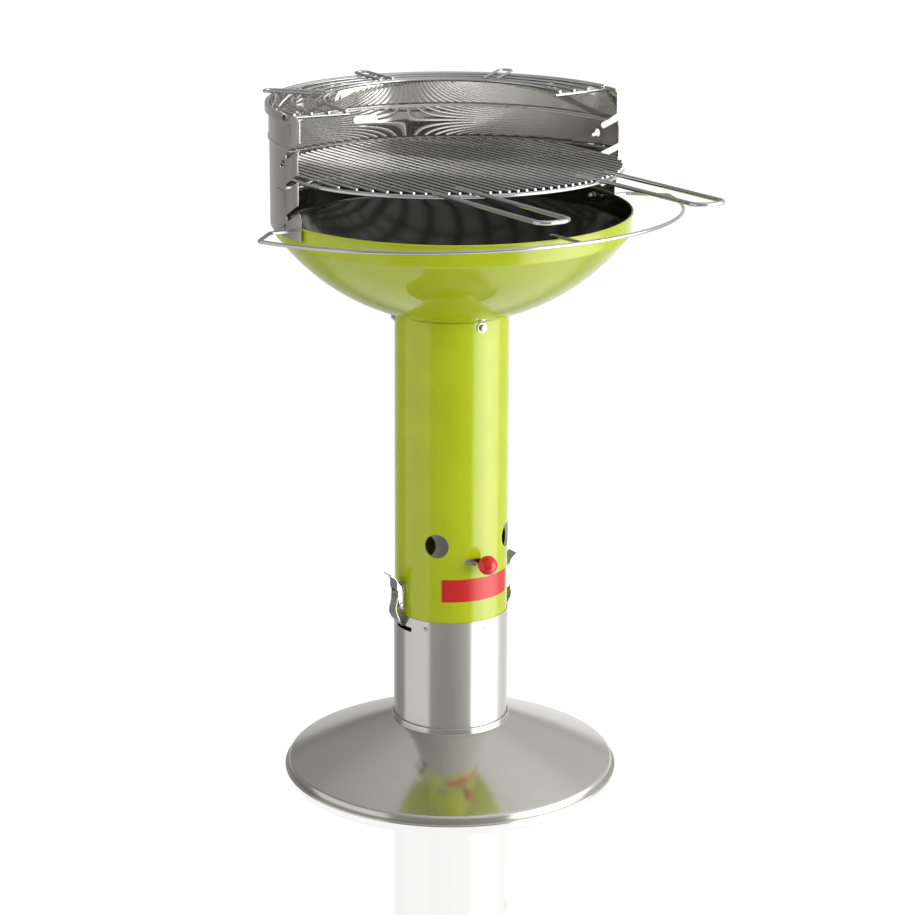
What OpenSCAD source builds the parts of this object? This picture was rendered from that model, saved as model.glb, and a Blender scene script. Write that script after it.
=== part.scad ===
// Pillar charcoal grill: a spun foot and an ash pot, a column with a turning
// air ring, a dished bowl, a half-round windshield with three grate levels,
// a cooking grate, a warming rack and a ring for utensils.
// Millimetres. The origin is on the column's axis at the floor, +Z is up and
// the user stands at -Y. Bearings are degrees from the front, positive to +X.

/* [Foot] */
// Outer radius of the foot's lip
foot_r = 243; // [220:1:270]
// Width of the rolled lip on the floor
lip_w = 5.4; // [4:0.2:8]
// Height of the rolled lip
lip_t = 3.6; // [2.4:0.1:4.5]
// Height of the upright edge above the floor
edge_h = 12.5; // [10:0.5:20]
// Radius of the bend over the upright edge
edge_bend = 6; // [4:0.5:9]
// Height of the cone's top
cone_h = 74.5; // [62:0.5:92]
// How far the cone's middle stands above a straight line
cone_crown = 2.5; // [0:0.5:5]
// Height of the turned-up neck that takes the pot
neck_h = 9; // [7:0.5:14]

/* [Ash pot] */
// Gap between the column and the pot that takes its lower end
pot_gap = 0.4; // [0.3:0.05:0.8]
// Height of the pot's top edge above the floor
pot_top_z = 244.5; // [228:0.5:272]
// Radius of the bend at the pot's bottom
pot_bend = 4; // [2:0.5:8]
// Turn of the pot against the column
pot_turn = 4; // [0:1:5]
// Number of pips that the column stands on
pips = 6; // [3:1:8]
// Radius of one pip
pip_r = 3; // [2.5:0.1:4]
// Depth of a pip's centre below the pot's top edge
pip_drop = 11.5; // [9:0.5:16]
// Width of a slot that takes a latch hook
hook_slot_w = 36; // [30:1:40]
// Height of a slot that takes a latch hook
hook_slot_h = 6.8; // [6:0.2:9]

/* [Sheet and wire] */
// Thickness of the stainless sheet
sheet_t = 0.8; // [0.6:0.1:1.2]
// Thickness of the enamelled bowl
bowl_t = 1.2; // [1:0.1:1.8]
// Thickness of the windshield
shield_t = 1; // [0.8:0.1:1.4]
// How far two welded wires sink into each other
weld = 0.2; // [0.1:0.05:0.4]
// Gap where one loose piece rests on another
rest_gap = 0.3; // [0.2:0.05:0.5]
// Radial clearance of a turning fit
run_gap = 0.05; // [0.03:0.01:0.1]

/* [Column] */
// Outer radius of the column
column_r = 81.3; // [76:0.5:92]
// Diameter of an air hole
air_hole_d = 34.8; // [25:0.2:42]
// Height of the air holes above the floor
air_hole_z = 359; // [333:0.5:392]
// Bearing of the air holes at the front
air_hole_at = 45; // [42:1:48]
// Height of the knob's slot above the floor
knob_slot_z = 335; // [323:0.5:337]
// How far the knob swings to each side
knob_swing = 13.4; // [10:0.1:16]
// Diameter of the knob's stem
stem_d = 8.2; // [6:0.2:9]
// Diameter of the ball knob
knob_d = 27.6; // [20:0.2:32]
// Distance from the column to the ball's centre
knob_reach = 22; // [19:0.5:30]
// Height of the air ring
ring_h = 66; // [60:1:74]
// Width of the name plate along the column
badge_w = 115; // [80:1:130]
// Height of the name plate
badge_h = 33.5; // [20:0.5:38]
// Height of the name plate's centre above the floor
badge_z = 293; // [287:0.5:296]
// Thickness of the name plate
badge_t = 0.6; // [0.4:0.1:1]

/* [Bowl] */
// Outer radius of the bowl's band
bowl_r = 250; // [235:1:270]
// Radius of the dish, like a slice of a ball, as a share of the band's radius
dish_share = 1.226; // [1.18:0.002:1.3]
// Height of the bowl's rim above the floor
rim_z = 831.5; // [822:0.5:843]
// Height of the upright band under the rim
band_h = 30; // [26:0.5:40]
// Radius of the bend under the band
band_bend = 8; // [5:0.5:12]
// How far the rolled rim stands out
rim_roll = 2.5; // [2.5:0.1:4]
// Depth of the bowl's neck in the column
bowl_neck_h = 22; // [18:1:30]
// Number of screws that hold the bowl
bowl_screws_n = 3; // [3:1:6]
// Depth of those screws' washers below the column's top
bowl_screw_drop = 0.6; // [0.4:0.2:3]
// How far the charcoal grate reaches past the column
coal_grate_out = 11; // [6:1:26]

/* [Windshield] */
// Gap between the bowl's rim and the windshield
shield_gap = 0.5; // [0.3:0.1:1.5]
// Bearing of the windshield's two upright edges
shield_edge_at = 83.5; // [80:0.5:86]
// Height of the windshield
shield_h = 169.5; // [160:0.5:190]
// How far the windshield hangs below the rim
shield_drop = 19; // [17:0.5:22]
// Height of the outward bead above the rim
bead_up = 103; // [98:1:106]
// How far the bead stands out
bead_out = 2; // [1:0.5:3]
// Height of the hem at the top
hem_h = 11; // [8:0.5:12]
// Width of the hem at the top
hem_w = 5.5; // [4:0.5:8]
// Distance between two grate levels
level_pitch = 42; // [40:1:44]
// Height of the middle level above the rim
level_mid = 49.7; // [48:0.1:52]
// Rise of the grate slots, in degrees
slot_rise = 26; // [20:1:36]
// Width of a grate slot
slot_w = 9; // [8:0.5:12]
// Bearing of the bolts that hold the windshield
shield_bolt_at = 95; // [94.5:0.5:100]
// Height of those bolts below the rim
shield_bolt_drop = 11; // [10:0.5:13]

/* [Cooking grate] */
// How far the rim wire's centre lies inside the bowl's band
grate_inset = 14; // [3:0.5:20]
// Diameter of the rim wire
grate_rim_d = 6; // [5:0.5:7]
// Diameter of a bar
bar_d = 4; // [3:0.5:5]
// Distance between two bars
bar_pitch = 12.35; // [11.5:0.05:14]
// Diameter of the support wires
support_d = 5; // [4:0.5:6]
// How far the support wire lies behind the axis
support_y = 6.5; // [4:0.5:9]
// Tilt of the grate, front upwards
grate_tilt = 1.55; // [0:0.05:2.5]
// Diameter of a handle's wire
handle_d = 6; // [5:0.5:6.5]
// How far a handle reaches in front of the grate
handle_out = 221; // [180:1:255]
// How far a handle reaches back over the grate
handle_in = 64; // [45:1:95]
// Bar that a handle's inner leg is welded to, counted from the middle
leg_bar = 8; // [4:1:9]
// Number of bars that a handle spans
leg_span = 3; // [2:1:6]

/* [Warming rack] */
// How far the outer hoop lies inside the bowl's band
rack_inset = 4.5; // [3:0.5:20]
// Width of the rack from the outer hoop to the inner one
rack_w = 74; // [55:0.5:105]
// How far the inner hoop's centre lies behind the axis
rack_in_back = 16; // [0:1:24]
// Diameter of the inner hoop and the end wires
rack_d = 5; // [4:0.5:6]
// Diameter of the thin hoops and the hooks
rack_thin_d = 4; // [3:0.5:4.5]
// Slant of the end wires
rack_end_slant = 6; // [3:1:24]
// Bearing between two hooks
rack_hook_step = 47; // [35:1:55]
// Width of a hook between its legs
rack_hook_w = 20; // [14:1:26]
// How far a hook reaches past the windshield's hem
rack_hook_out = 11; // [5:1:24]

/* [Utensil ring] */
// How much larger the front curve's radius is than half of the ring's width
ring_round = 10; // [6:1:34]
// How far the ring's corners stand out from the bowl's sides
ring_side_out = 76; // [62:1:78]
// How far the ring's front stands out from the bowl's front
ring_front_out = 60; // [40:1:70]
// Diameter of the ring's wire
ring_d = 5.2; // [4:0.2:6]
// How far the pivots lie in front of the axis
ring_pivot_y = 5; // [4:0.5:8]
// Depth of the pivots below the rim
ring_pivot_drop = 7; // [6.6:0.2:7.6]
// Radius of the ring's corner bends
ring_bend = 12; // [8:1:16]
// Sideways place of the stub that rests on the rim
stub_x = 15; // [-30:1:30]

/* [Latches] */
// Distance from the column to a lever's pivot
latch_out = 6.8; // [6.5:0.1:7.2]
// Height of a lever's pivot above the floor
latch_z = 262.5; // [258.5:0.5:266.5]
// Length between a lever's pivot and its hook's pivot
latch_arm = 14; // [13:0.5:15]
// Width of a latch base across its ears
latch_w = 17.6; // [16:0.2:20]
// Thickness of the latch's sheet
latch_t = 1.2; // [1:0.1:1.5]
// Diameter of a lever's pivot rivet
latch_pin_d = 5; // [4:0.2:5.4]
// Width of a hook's lower part
hook_w = 25; // [20:0.5:26]

/* [Fasteners] */
// Diameter of a bolt's shank
bolt_d = 6; // [5:0.5:6]
// Clearance of a bolt's hole
bolt_gap = 0.6; // [0.4:0.1:1]
// Diameter of a bolt's head
head_d = 11; // [9:0.5:13]
// Height of a bolt's head
head_h = 3.4; // [2.5:0.1:5]
// Width of a nut across its flats
nut_w = 10; // [9:0.5:12]
// Height of a nut
nut_h = 5; // [4:0.5:6]
// Diameter of a washer
washer_d = 15; // [13:0.5:19]
// Thickness of a washer
washer_t = 1.4; // [1:0.1:2]

/* [Hidden] */

$fn = 96;
// Sides of a wire and of other small rounds
small = 32;
// Overlap of a cut past the face that it opens
past = 1;
// How much thinner a wire is where it is bent, and a slot between its round ends
thinning = 0.04;

// Colours
steel = [0.72, 0.72, 0.70];
chrome = [0.80, 0.80, 0.80];
lime = [0.65, 0.71, 0.16];
red = [0.80, 0.16, 0.18];
black = [0.15, 0.15, 0.14];

// Foot: the upright edge, the neck's two walls and the seat of the pot
pot_in_r = column_r + pot_gap;
pot_r = pot_in_r + sheet_t;
foot_edge_r = foot_r - lip_w;
seat_gap = 0.3;
neck_in_r = pot_r + seat_gap + sheet_t / 2;
neck_out_r = neck_in_r + 2 * sheet_t;
neck_top = cone_h + neck_h;
// Middle of the disc that closes the neck, and its upper face
seat_z = cone_h + 2;
seat_top = seat_z + sheet_t / 2;

// Pot: its floor, pips and hook slots
pot_floor = seat_top + run_gap;
pip_z = pot_top_z - pip_drop;
// Pip centres lie in the pot's wall, so that half of each ball stands inside
pip_at_r = pot_r - sheet_t / 2;
pot_bolt_at_r = 0.55 * pot_r;
pot_bolts_n = 3;
// Slots for the latch hooks end a little under the pips
hook_slot_top = pip_z - pip_r;

// Column
column_in_r = column_r - sheet_t;
column_bottom = pip_z + pip_r;
air_ring_r = column_in_r - run_gap;
air_ring_in_r = air_ring_r - sheet_t;
// The ring covers the air holes above and the knob's slot below
air_ring_z = knob_slot_z - stem_d / 2 - 6;
knob_r = column_r + knob_reach;
// At rest the ring's holes stand a knob's swing away from the column's holes
air_offset = -knob_swing;
stem_head_h = 2.6;
knob_slot_h = stem_d + 2 * rest_gap;
badge_angle = badge_w / column_r * 180 / PI;
badge_turn = 1.1;

// Bowl: the dish turns into a straight slope where it stands at a given angle
slope_at = 50;
dish_r = dish_share * bowl_r;
dish_mid_r = dish_r - bowl_t / 2;
band_mid_r = bowl_r - bowl_t / 2;
slope_r = dish_mid_r * sin(slope_at);
band_bottom = rim_z - band_h;
dish_z = band_bottom - (band_mid_r - slope_r) * tan(slope_at) + dish_mid_r * cos(slope_at);
bowl_neck_r = column_in_r - rest_gap;
bowl_neck_mid = bowl_neck_r - bowl_t / 2;
function dish_at(r, ball_r) = dish_z - sqrt(ball_r * ball_r - r * r);
column_top = dish_at(bowl_neck_r, dish_r) - rest_gap;
bowl_screw_z = column_top - bowl_screw_drop - washer_d / 2;
bowl_neck_bottom = column_top - bowl_neck_h;
bowl_in_r = bowl_r - bowl_t;

// Charcoal grate: a disc that lies in the dish
coal_t = 2;
coal_grate_r = column_r + coal_grate_out;
coal_z = dish_at(coal_grate_r, dish_r - bowl_t) + rest_gap;
coal_hole_d = 9;
coal_rings = 4;
coal_step = (coal_grate_r - 8) / coal_rings;

// Windshield
shield_in_r = bowl_r + rim_roll + shield_gap;
shield_mid_r = shield_in_r + shield_t / 2;
shield_out_r = shield_in_r + shield_t;
shield_bottom = rim_z - shield_drop;
shield_top = shield_bottom + shield_h;
bead_z = rim_z + bead_up;
bead_half = 3;
upper_step = 0.8;
shield_upper_r = shield_mid_r + upper_step;
hem_out_r = shield_upper_r + hem_w;
shield_sweep = 360 - 2 * shield_edge_at;
shield_edge_y = -shield_mid_r * cos(shield_edge_at);
function level_z(level) = rim_z + level_mid + level * level_pitch;
shield_bolt_z = rim_z - shield_bolt_drop;
back_slot_w = 41;
back_slot_h = 12;
// Width of the slits round a tab
slit_w = 0.5;

// Cooking grate: the rim wire's plane, and its height from the support's seat
grate_r = bowl_r - grate_inset;
handle_reach = grate_r + handle_out;
handle_root = grate_r - handle_in;
support_drop = (grate_rim_d + support_d) / 2 - weld;
bar_lift = (grate_rim_d + bar_d) / 2 - weld;
leg_lift = (grate_rim_d + handle_d) / 2 - weld;
ear_y = support_y * cos(grate_tilt) - support_drop * sin(grate_tilt);
ear_z = level_z(0);
grate_z = ear_z + support_y * sin(grate_tilt) + support_drop * cos(grate_tilt);
bars_half = floor((grate_r - 8) / bar_pitch);
ear_half = hem_out_r - 2;
tongue_w = 28;
tongue_y = shield_out_r + 3 - support_d / 2;
// A leg lies beside its bar and touches it
leg_side = sqrt(pow((bar_d + handle_d) / 2 - weld, 2) - pow(leg_lift - bar_lift, 2));
leg_in = leg_bar * bar_pitch - leg_side;
leg_out = (leg_bar + leg_span) * bar_pitch + leg_side;

// Warming rack: end wires in the notches, hoops on them, hooks on the hoops and over the hem
rack_r = bowl_r - rack_inset;
rack_in_r = rack_r - rack_w;
rack_over_z = shield_top + rack_thin_d / 2 + rest_gap;
rack_z = rack_over_z - (rack_d + 3 * rack_thin_d) / 2 + 2 * weld;
rack_notch_at = 90 + asin(6 / shield_upper_r);
rack_end_y = -shield_upper_r * cos(rack_notch_at);
rack_end_x = rack_r + 6;
rack_hoops_n = 3;
function rack_line_y(x) = rack_end_y - (rack_end_x - x) * tan(rack_end_slant);
function hoop_r(i) = rack_r + (rack_in_r - rack_r) * i / rack_hoops_n;
function hoop_y(i) = rack_in_back * i / rack_hoops_n;
function hoop_from(i) = asin((rack_line_y(hoop_r(i)) - hoop_y(i) - rack_d) / hoop_r(i));
rack_tip_r = hem_out_r + rack_hook_out;

// Utensil ring
ring_half_w = bowl_r + ring_side_out;
ring_r = ring_half_w + ring_round;
ring_front = bowl_r + ring_front_out;
ring_z = rim_z - ring_pivot_drop;
stub_rest_z = rim_z + ring_d / 2 + rest_gap;
ring_tilt = asin((stub_rest_z - ring_z) / (bowl_r - ring_pivot_y));
ring_y0 = ring_r - ring_front;
ring_end_x = bowl_in_r - 5;
ring_knee_x = shield_out_r + 34;

// Latches: distances are from the column's axis and heights from the floor
pivot_u = column_r + latch_out;
hook_pin_u = pivot_u + 2.6;
hook_pin_z = latch_z + latch_arm;
hook_pin_d = 3;
base_in_r = column_r + run_gap;
base_h = 41;
base_low = latch_z - 12.5;
ear_out = latch_w / 2;
cheek_gap = 0.6;
cheek_in = ear_out + cheek_gap;
cheek_out = cheek_in + latch_t;
hook_top_w = 2 * ear_out;
strap_in = hook_pin_u + hook_pin_d / 2 + run_gap + 0.9;
strap_mid = strap_in + latch_t / 2;
plate_in = strap_in + 0.7;
hook_end_z = hook_slot_top - rest_gap - latch_t / 2;
tongue_tip_u = pot_in_r - 2.7;
tongue_half = 8.5;
rivet_d = 4;
boss_r = 4.2;
plate_mid = plate_in + latch_t / 2;
eye_r = strap_in - hook_pin_u + 0.3;
latch_bearing = 90;

// Unit vector from p to q
function toward(p, q) = (q - p) / norm(q - p);
// The same vector turned a quarter left
function left(v) = [-v[1], v[0]];
// The point beside a path's corner i, a distance w to its left
function beside(path, i, w) =
    let (
        last = len(path) - 1,
        a = left(toward(path[max(i - 1, 0)], path[max(i, 1)])),
        b = left(toward(path[min(i, last - 1)], path[min(i + 1, last)]))
    )
    path[i] + w * (a + b) / (1 + a * b);
// Closed outline of a sheet of thickness t that follows a path
function sheet(path, t) = concat(
    [for (i = [0:len(path) - 1]) beside(path, i, t / 2)],
    [for (i = [len(path) - 1:-1:0]) beside(path, i, -t / 2)]
);
// Points of an arc about c
function arc(c, r, from, to, steps) =
    [for (i = [0:steps]) let (a = from + (to - from) * i / steps) c + r * [cos(a), sin(a)]];
// Angle of a vector
function angle_of(v) = atan2(v[1], v[0]);
// An angle brought between -180 and 180
function wrap(a) = a > 180 ? a - 360 : a < -180 ? a + 360 : a;
// The rounded corner b between a and c, as arc points
function corner(a, b, c, r, steps = 6) =
    let (
        u = toward(b, a),
        v = toward(b, c),
        half = acos(u * v) / 2,
        mid = b + (u + v) / norm(u + v) * r / sin(half),
        from = angle_of(b + u * r / tan(half) - mid),
        turn = wrap(angle_of(b + v * r / tan(half) - mid) - from)
    )
    arc(mid, r, from, from + turn, steps);
// Points between p and q that bow to the left by a sagitta
function bow(p, q, sagitta, steps) =
    [for (i = [1:steps - 1]) let (s = i / steps)
        p + s * (q - p) + 4 * s * (1 - s) * sagitta * left(toward(p, q))];

// Turns the radial direction of a child from +X to a bearing
module facing(bearing) rotate([0, 0, bearing - 90]) children();
// A copy on the left of what is built on the right
module both_sides() {
    children();
    mirror([1, 0, 0]) children();
}
// A plate outline in the (across, up) plane, cut outwards from u0 to u1
module outward(u0, u1) translate([u0, 0, 0]) rotate([90, 0, 90]) linear_extrude(u1 - u0) children();
// A plate outline in the (out, up) plane, between two places across
module sideways(v0, v1) translate([0, v1, 0]) rotate([90, 0, 0]) linear_extrude(v1 - v0) children();
// A round rod along the radial direction
module radial_rod(d, u0, u1, z) translate([u0, 0, z]) rotate([0, 90, 0]) cylinder(d = d, h = u1 - u0, $fn = small);
// A closed sheet of revolution
module spun(path, t) rotate_extrude() polygon(sheet(path, t));

// A straight wire between two points of a plane
module rod(p, q, d) translate([p[0], p[1], 0]) rotate([0, 0, angle_of(q - p)]) rotate([0, 90, 0])
    cylinder(d = d, h = norm(q - p), $fn = small);
// A bent wire about c. Bending thins it a little, and it runs a little into the straight wire at each end
module bend(c, r, from, turn, d) {
    into = weld / r * 180 / PI;
    translate([c[0], c[1], 0]) rotate([0, 0, min(from, from + turn) - into])
        rotate_extrude(angle = abs(turn) + 2 * into) translate([r, 0]) circle(d = d - thinning, $fn = small);
}
// A wire along points of a plane, with every inner corner bent to radius r
module wire(points, r, d) {
    last = len(points) - 1;
    turns = [for (i = [0:last]) (i == 0 || i == last) ? 0 :
        wrap(angle_of(points[i + 1] - points[i]) - angle_of(points[i] - points[i - 1]))];
    cut = [for (turn = turns) r * tan(abs(turn) / 2)];
    for (i = [0:last - 1]) {
        u = toward(points[i], points[i + 1]);
        rod(points[i] + cut[i] * u, points[i + 1] - cut[i + 1] * u, d);
    }
    for (i = [1:1:last - 1]) {
        u = toward(points[i - 1], points[i]);
        side = sign(turns[i]) * left(u);
        start = points[i] - cut[i] * u;
        bend(start + r * side, r, angle_of(-side), turns[i], d);
    }
}

// Foot
module foot() {
    corner_point = [foot_edge_r, edge_h];
    cone_top = [neck_out_r, cone_h];
    rise = bow(corner_point, cone_top, -cone_crown, 8);
    path = concat(
        [[foot_edge_r, 0]],
        corner([foot_edge_r, 0], corner_point, rise[0], edge_bend),
        rise,
        [cone_top, [neck_out_r, neck_top - sheet_t], [neck_out_r - sheet_t, neck_top - sheet_t / 3],
            [neck_in_r, neck_top - sheet_t], [neck_in_r, seat_z], [0, seat_z]]
    );
    color(steel) difference() {
        union() {
            spun(path, sheet_t);
            rotate_extrude() translate([foot_edge_r - sheet_t / 2, 0]) square([lip_w + sheet_t / 2, lip_t]);
        }
        for (i = [0:pot_bolts_n - 1]) rotate([0, 0, i * 360 / pot_bolts_n]) translate([pot_bolt_at_r, 0, seat_z])
            cylinder(d = bolt_d + bolt_gap, h = 4 * sheet_t, center = true, $fn = small);
    }
}

// Ash pot: a drawn pot with pips under the column and slots for the hooks
module ash_pot() {
    wall_r = pot_r - sheet_t / 2;
    floor_z = pot_floor + sheet_t / 2;
    path = concat([[0, floor_z]], corner([0, floor_z], [wall_r, floor_z], [wall_r, pot_top_z], pot_bend),
        [[wall_r, pot_top_z]]);
    color(steel) difference() {
        union() {
            spun(path, sheet_t);
            intersection() {
                for (i = [0:pips - 1]) facing(pot_turn + i * 360 / pips) translate([pip_at_r, 0, pip_z])
                    sphere(r = pip_r, $fn = small);
                cylinder(r = wall_r, h = pot_top_z);
            }
        }
        for (i = [0:pips - 1]) facing(pot_turn + i * 360 / pips) translate([pip_at_r, 0, pip_z])
            sphere(r = pip_r - sheet_t, $fn = small);
        for (side = [-1, 1]) facing(side * latch_bearing + pot_turn) outward(pot_in_r - 2 * pip_r, pot_r + past)
            translate([-hook_slot_w / 2, hook_slot_top - hook_slot_h]) square([hook_slot_w, hook_slot_h]);
        for (i = [0:pot_bolts_n - 1]) rotate([0, 0, i * 360 / pot_bolts_n]) translate([pot_bolt_at_r, 0, floor_z])
            cylinder(d = bolt_d + bolt_gap, h = 4 * sheet_t, center = true, $fn = small);
    }
}

module pot_bolts() color(steel) for (i = [0:pot_bolts_n - 1]) rotate([0, 0, i * 360 / pot_bolts_n])
    translate([pot_bolt_at_r, 0, 0]) {
        translate([0, 0, seat_z - sheet_t / 2 - head_h]) cylinder(d = head_d, h = head_h, $fn = small);
        translate([0, 0, seat_z - sheet_t]) cylinder(d = bolt_d, h = 4 * sheet_t + nut_h, $fn = small);
    }

module pot_nuts() color(steel) for (i = [0:pot_bolts_n - 1]) rotate([0, 0, i * 360 / pot_bolts_n])
    translate([pot_bolt_at_r, 0, pot_floor + sheet_t]) difference() {
        cylinder(d = nut_w / cos(30), h = nut_h, $fn = 6);
        translate([0, 0, -past]) cylinder(d = bolt_d + 2 * run_gap, h = nut_h + 2 * past, $fn = small);
    }

// Column with its air holes, the knob's slot and the holes of its fasteners
module column() color(lime) difference() {
    translate([0, 0, column_bottom]) cylinder(r = column_r, h = column_top - column_bottom);
    translate([0, 0, column_bottom - past]) cylinder(r = column_in_r, h = column_top - column_bottom + 2 * past);
    for (i = [0:3]) facing(air_hole_at + i * 90) radial_rod(air_hole_d, column_r - 10, column_r + past, air_hole_z);
    for (side = [-1, 1]) facing(side * knob_swing)
        radial_rod(knob_slot_h, column_r - 10, column_r + past, knob_slot_z);
    facing(-knob_swing) rotate_extrude(angle = 2 * knob_swing)
        translate([column_r - 10, knob_slot_z - knob_slot_h / 2 + thinning])
            square([10 + past, knob_slot_h - 2 * thinning]);
    for (i = [0:bowl_screws_n - 1]) facing(i * 360 / bowl_screws_n)
        radial_rod(bolt_d + bolt_gap, column_r - 10, column_r + past, bowl_screw_z);
    for (side = [-1, 1]) facing(side * latch_bearing) for (z = rivet_heights())
        radial_rod(rivet_d + 2 * run_gap, column_r - 10, column_r + past, z);
}

// Air ring: an inner sleeve with one hole to each hole of the column
module air_ring() color([0.42, 0.41, 0.42]) difference() {
    translate([0, 0, air_ring_z]) cylinder(r = air_ring_r, h = ring_h);
    translate([0, 0, air_ring_z - past]) cylinder(r = air_ring_in_r, h = ring_h + 2 * past);
    for (i = [0:3]) facing(air_hole_at + air_offset + i * 90)
        radial_rod(air_hole_d, column_r - 10, column_r + past, air_hole_z);
    facing(0) radial_rod(stem_d / 2 + 2 * run_gap, column_r - 10, column_r + past, knob_slot_z);
}

// The stem is a screw through the ring, a spacer in the slot and a stud in the ball
module air_knob_stem() color(black) facing(0) {
    radial_rod(stem_d, air_ring_in_r - stem_head_h, air_ring_in_r - run_gap, knob_slot_z);
    radial_rod(stem_d / 2, air_ring_in_r - stem_head_h, knob_r, knob_slot_z);
    radial_rod(stem_d, air_ring_r + run_gap, knob_r - knob_d / 2 + 2, knob_slot_z);
}

module air_knob() color(red) facing(0) translate([knob_r, 0, knob_slot_z]) rotate([0, 90, 0]) rotate_extrude()
    difference() {
        intersection() {
            circle(d = knob_d);
            translate([0, -knob_d]) square([knob_d, 2 * knob_d]);
        }
        translate([-past, -knob_d]) square([past + stem_d / 4 + 2 * run_gap, knob_d + 2 * run_gap]);
        translate([-past, -knob_d]) square([past + stem_d / 2 + run_gap, knob_d / 2 + 2 + run_gap]);
    }

module badge_plate() color(red) facing(badge_turn - badge_angle / 2) rotate_extrude(angle = badge_angle)
    translate([column_r + run_gap, badge_z - badge_h / 2]) square([badge_t, badge_h]);

// Latch. Every outline is in the (out, up) plane of a latch at +X
function rivet_heights() = [base_low + base_h - 5, base_low + base_h - 15];

module latch_base() color(steel) difference() {
    union() {
        facing(90 - asin(ear_out / base_in_r)) rotate_extrude(angle = 2 * asin(ear_out / base_in_r))
            translate([base_in_r, base_low]) square([latch_t, base_h]);
        for (v = [-ear_out, ear_out - latch_t]) sideways(v, v + latch_t)
            polygon(concat([[base_in_r, base_low + base_h - 3], [base_in_r, base_low]],
                arc([pivot_u, latch_z], boss_r, -60, 90, 10), [[base_in_r + 3, base_low + base_h - 3]]));
    }
    translate([pivot_u, 0, latch_z]) rotate([90, 0, 0])
        cylinder(d = latch_pin_d + 2 * run_gap, h = latch_w + 2 * past, center = true, $fn = small);
    for (z = rivet_heights()) radial_rod(rivet_d + 2 * run_gap, column_r - past, pivot_u + 5, z);
}

module latch_pivot() color(steel) translate([pivot_u, 0, latch_z]) rotate([90, 0, 0]) {
    cylinder(d = latch_pin_d, h = 2 * cheek_out + 2 * run_gap, center = true, $fn = small);
    for (side = [0, 1]) mirror([0, 0, side]) translate([0, 0, cheek_out + run_gap])
        cylinder(d1 = 7.6, d2 = 6, h = 1.6, $fn = small);
}

// Lever: a face plate that flares at its tip, and a cheek on each side
module latch_lever() {
    plate = [[plate_mid, hook_pin_z + 9], [plate_mid, hook_pin_z + 22],
        [plate_mid + 3.5, hook_pin_z + 27], [plate_mid + 11, hook_pin_z + 32.5]];
    cheek = concat(arc([pivot_u, latch_z], boss_r, 120, 320, 10),
        [[hook_pin_u + 2.4, hook_pin_z - 4], [hook_pin_u + 2.4, hook_pin_z + 4], [plate_mid, hook_pin_z + 10],
            [plate_mid, hook_pin_z + 21], [pivot_u - 1, hook_pin_z + 13]]);
    color(steel) difference() {
        union() {
            sideways(-cheek_out, cheek_out) polygon(sheet(plate, latch_t));
            for (v = [-cheek_out, cheek_in]) sideways(v, v + latch_t) polygon(cheek);
        }
        translate([pivot_u, 0, latch_z]) rotate([90, 0, 0])
            cylinder(d = latch_pin_d + 2 * run_gap, h = 2 * cheek_out + past, center = true, $fn = small);
        translate([hook_pin_u, 0, hook_pin_z]) rotate([90, 0, 0])
            cylinder(d = hook_pin_d + 2 * run_gap, h = 2 * cheek_out + past, center = true, $fn = small);
    }
}

module latch_hook_pin() color(steel) translate([hook_pin_u, 0, hook_pin_z]) rotate([90, 0, 0])
    cylinder(d = hook_pin_d, h = 2 * cheek_out + 0.6, center = true, $fn = small);

// Hook: an eye on the pin, a bowed strap and a tongue in the pot's slot
module latch_hook() {
    strap = [[strap_mid, hook_pin_z + 0.5], [strap_mid, hook_pin_z - 8], [strap_mid + 1.2, hook_pin_z - 14],
        [strap_mid + 2.8, hook_pin_z - 21], [strap_mid + 2, hook_pin_z - 28], [strap_mid - 2, hook_pin_z - 37],
        [pot_r + 2.5, hook_end_z + 1.5], [pot_r + 0.9, hook_end_z], [tongue_tip_u, hook_end_z]];
    flare = [[-hook_top_w / 2, hook_pin_z + 4], [-hook_top_w / 2, hook_pin_z - 18], [-hook_w / 2, hook_pin_z - 30],
        [-hook_w / 2, hook_end_z + 4], [-tongue_half, hook_end_z + 1], [-tongue_half, hook_end_z - 2]];
    outline = concat(flare, [for (i = [len(flare) - 1:-1:0]) [-flare[i][0], flare[i][1]]]);
    color(steel) difference() {
        intersection() {
            union() {
                sideways(-hook_w / 2, hook_w / 2) polygon(sheet(strap, latch_t));
                translate([hook_pin_u, 0, hook_pin_z]) rotate([90, 0, 0])
                    cylinder(r = eye_r, h = hook_top_w, center = true, $fn = small);
            }
            outward(tongue_tip_u - past, strap_mid + 10) polygon(outline);
        }
        translate([hook_pin_u, 0, hook_pin_z]) rotate([90, 0, 0])
            cylinder(d = hook_pin_d + 2 * run_gap, h = hook_top_w + past, center = true, $fn = small);
    }
}

module latch_rivets() color(steel) for (side = [-1, 1]) facing(side * latch_bearing) for (z = rivet_heights()) {
    radial_rod(rivet_d, column_in_r - 1.2, base_in_r + latch_t + 1, z);
    radial_rod(rivet_d + 3, column_in_r - 1.2, column_in_r - run_gap - 0.4, z);
    radial_rod(rivet_d + 2.6, base_in_r + latch_t + run_gap, base_in_r + latch_t + 1.2, z);
}

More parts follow.
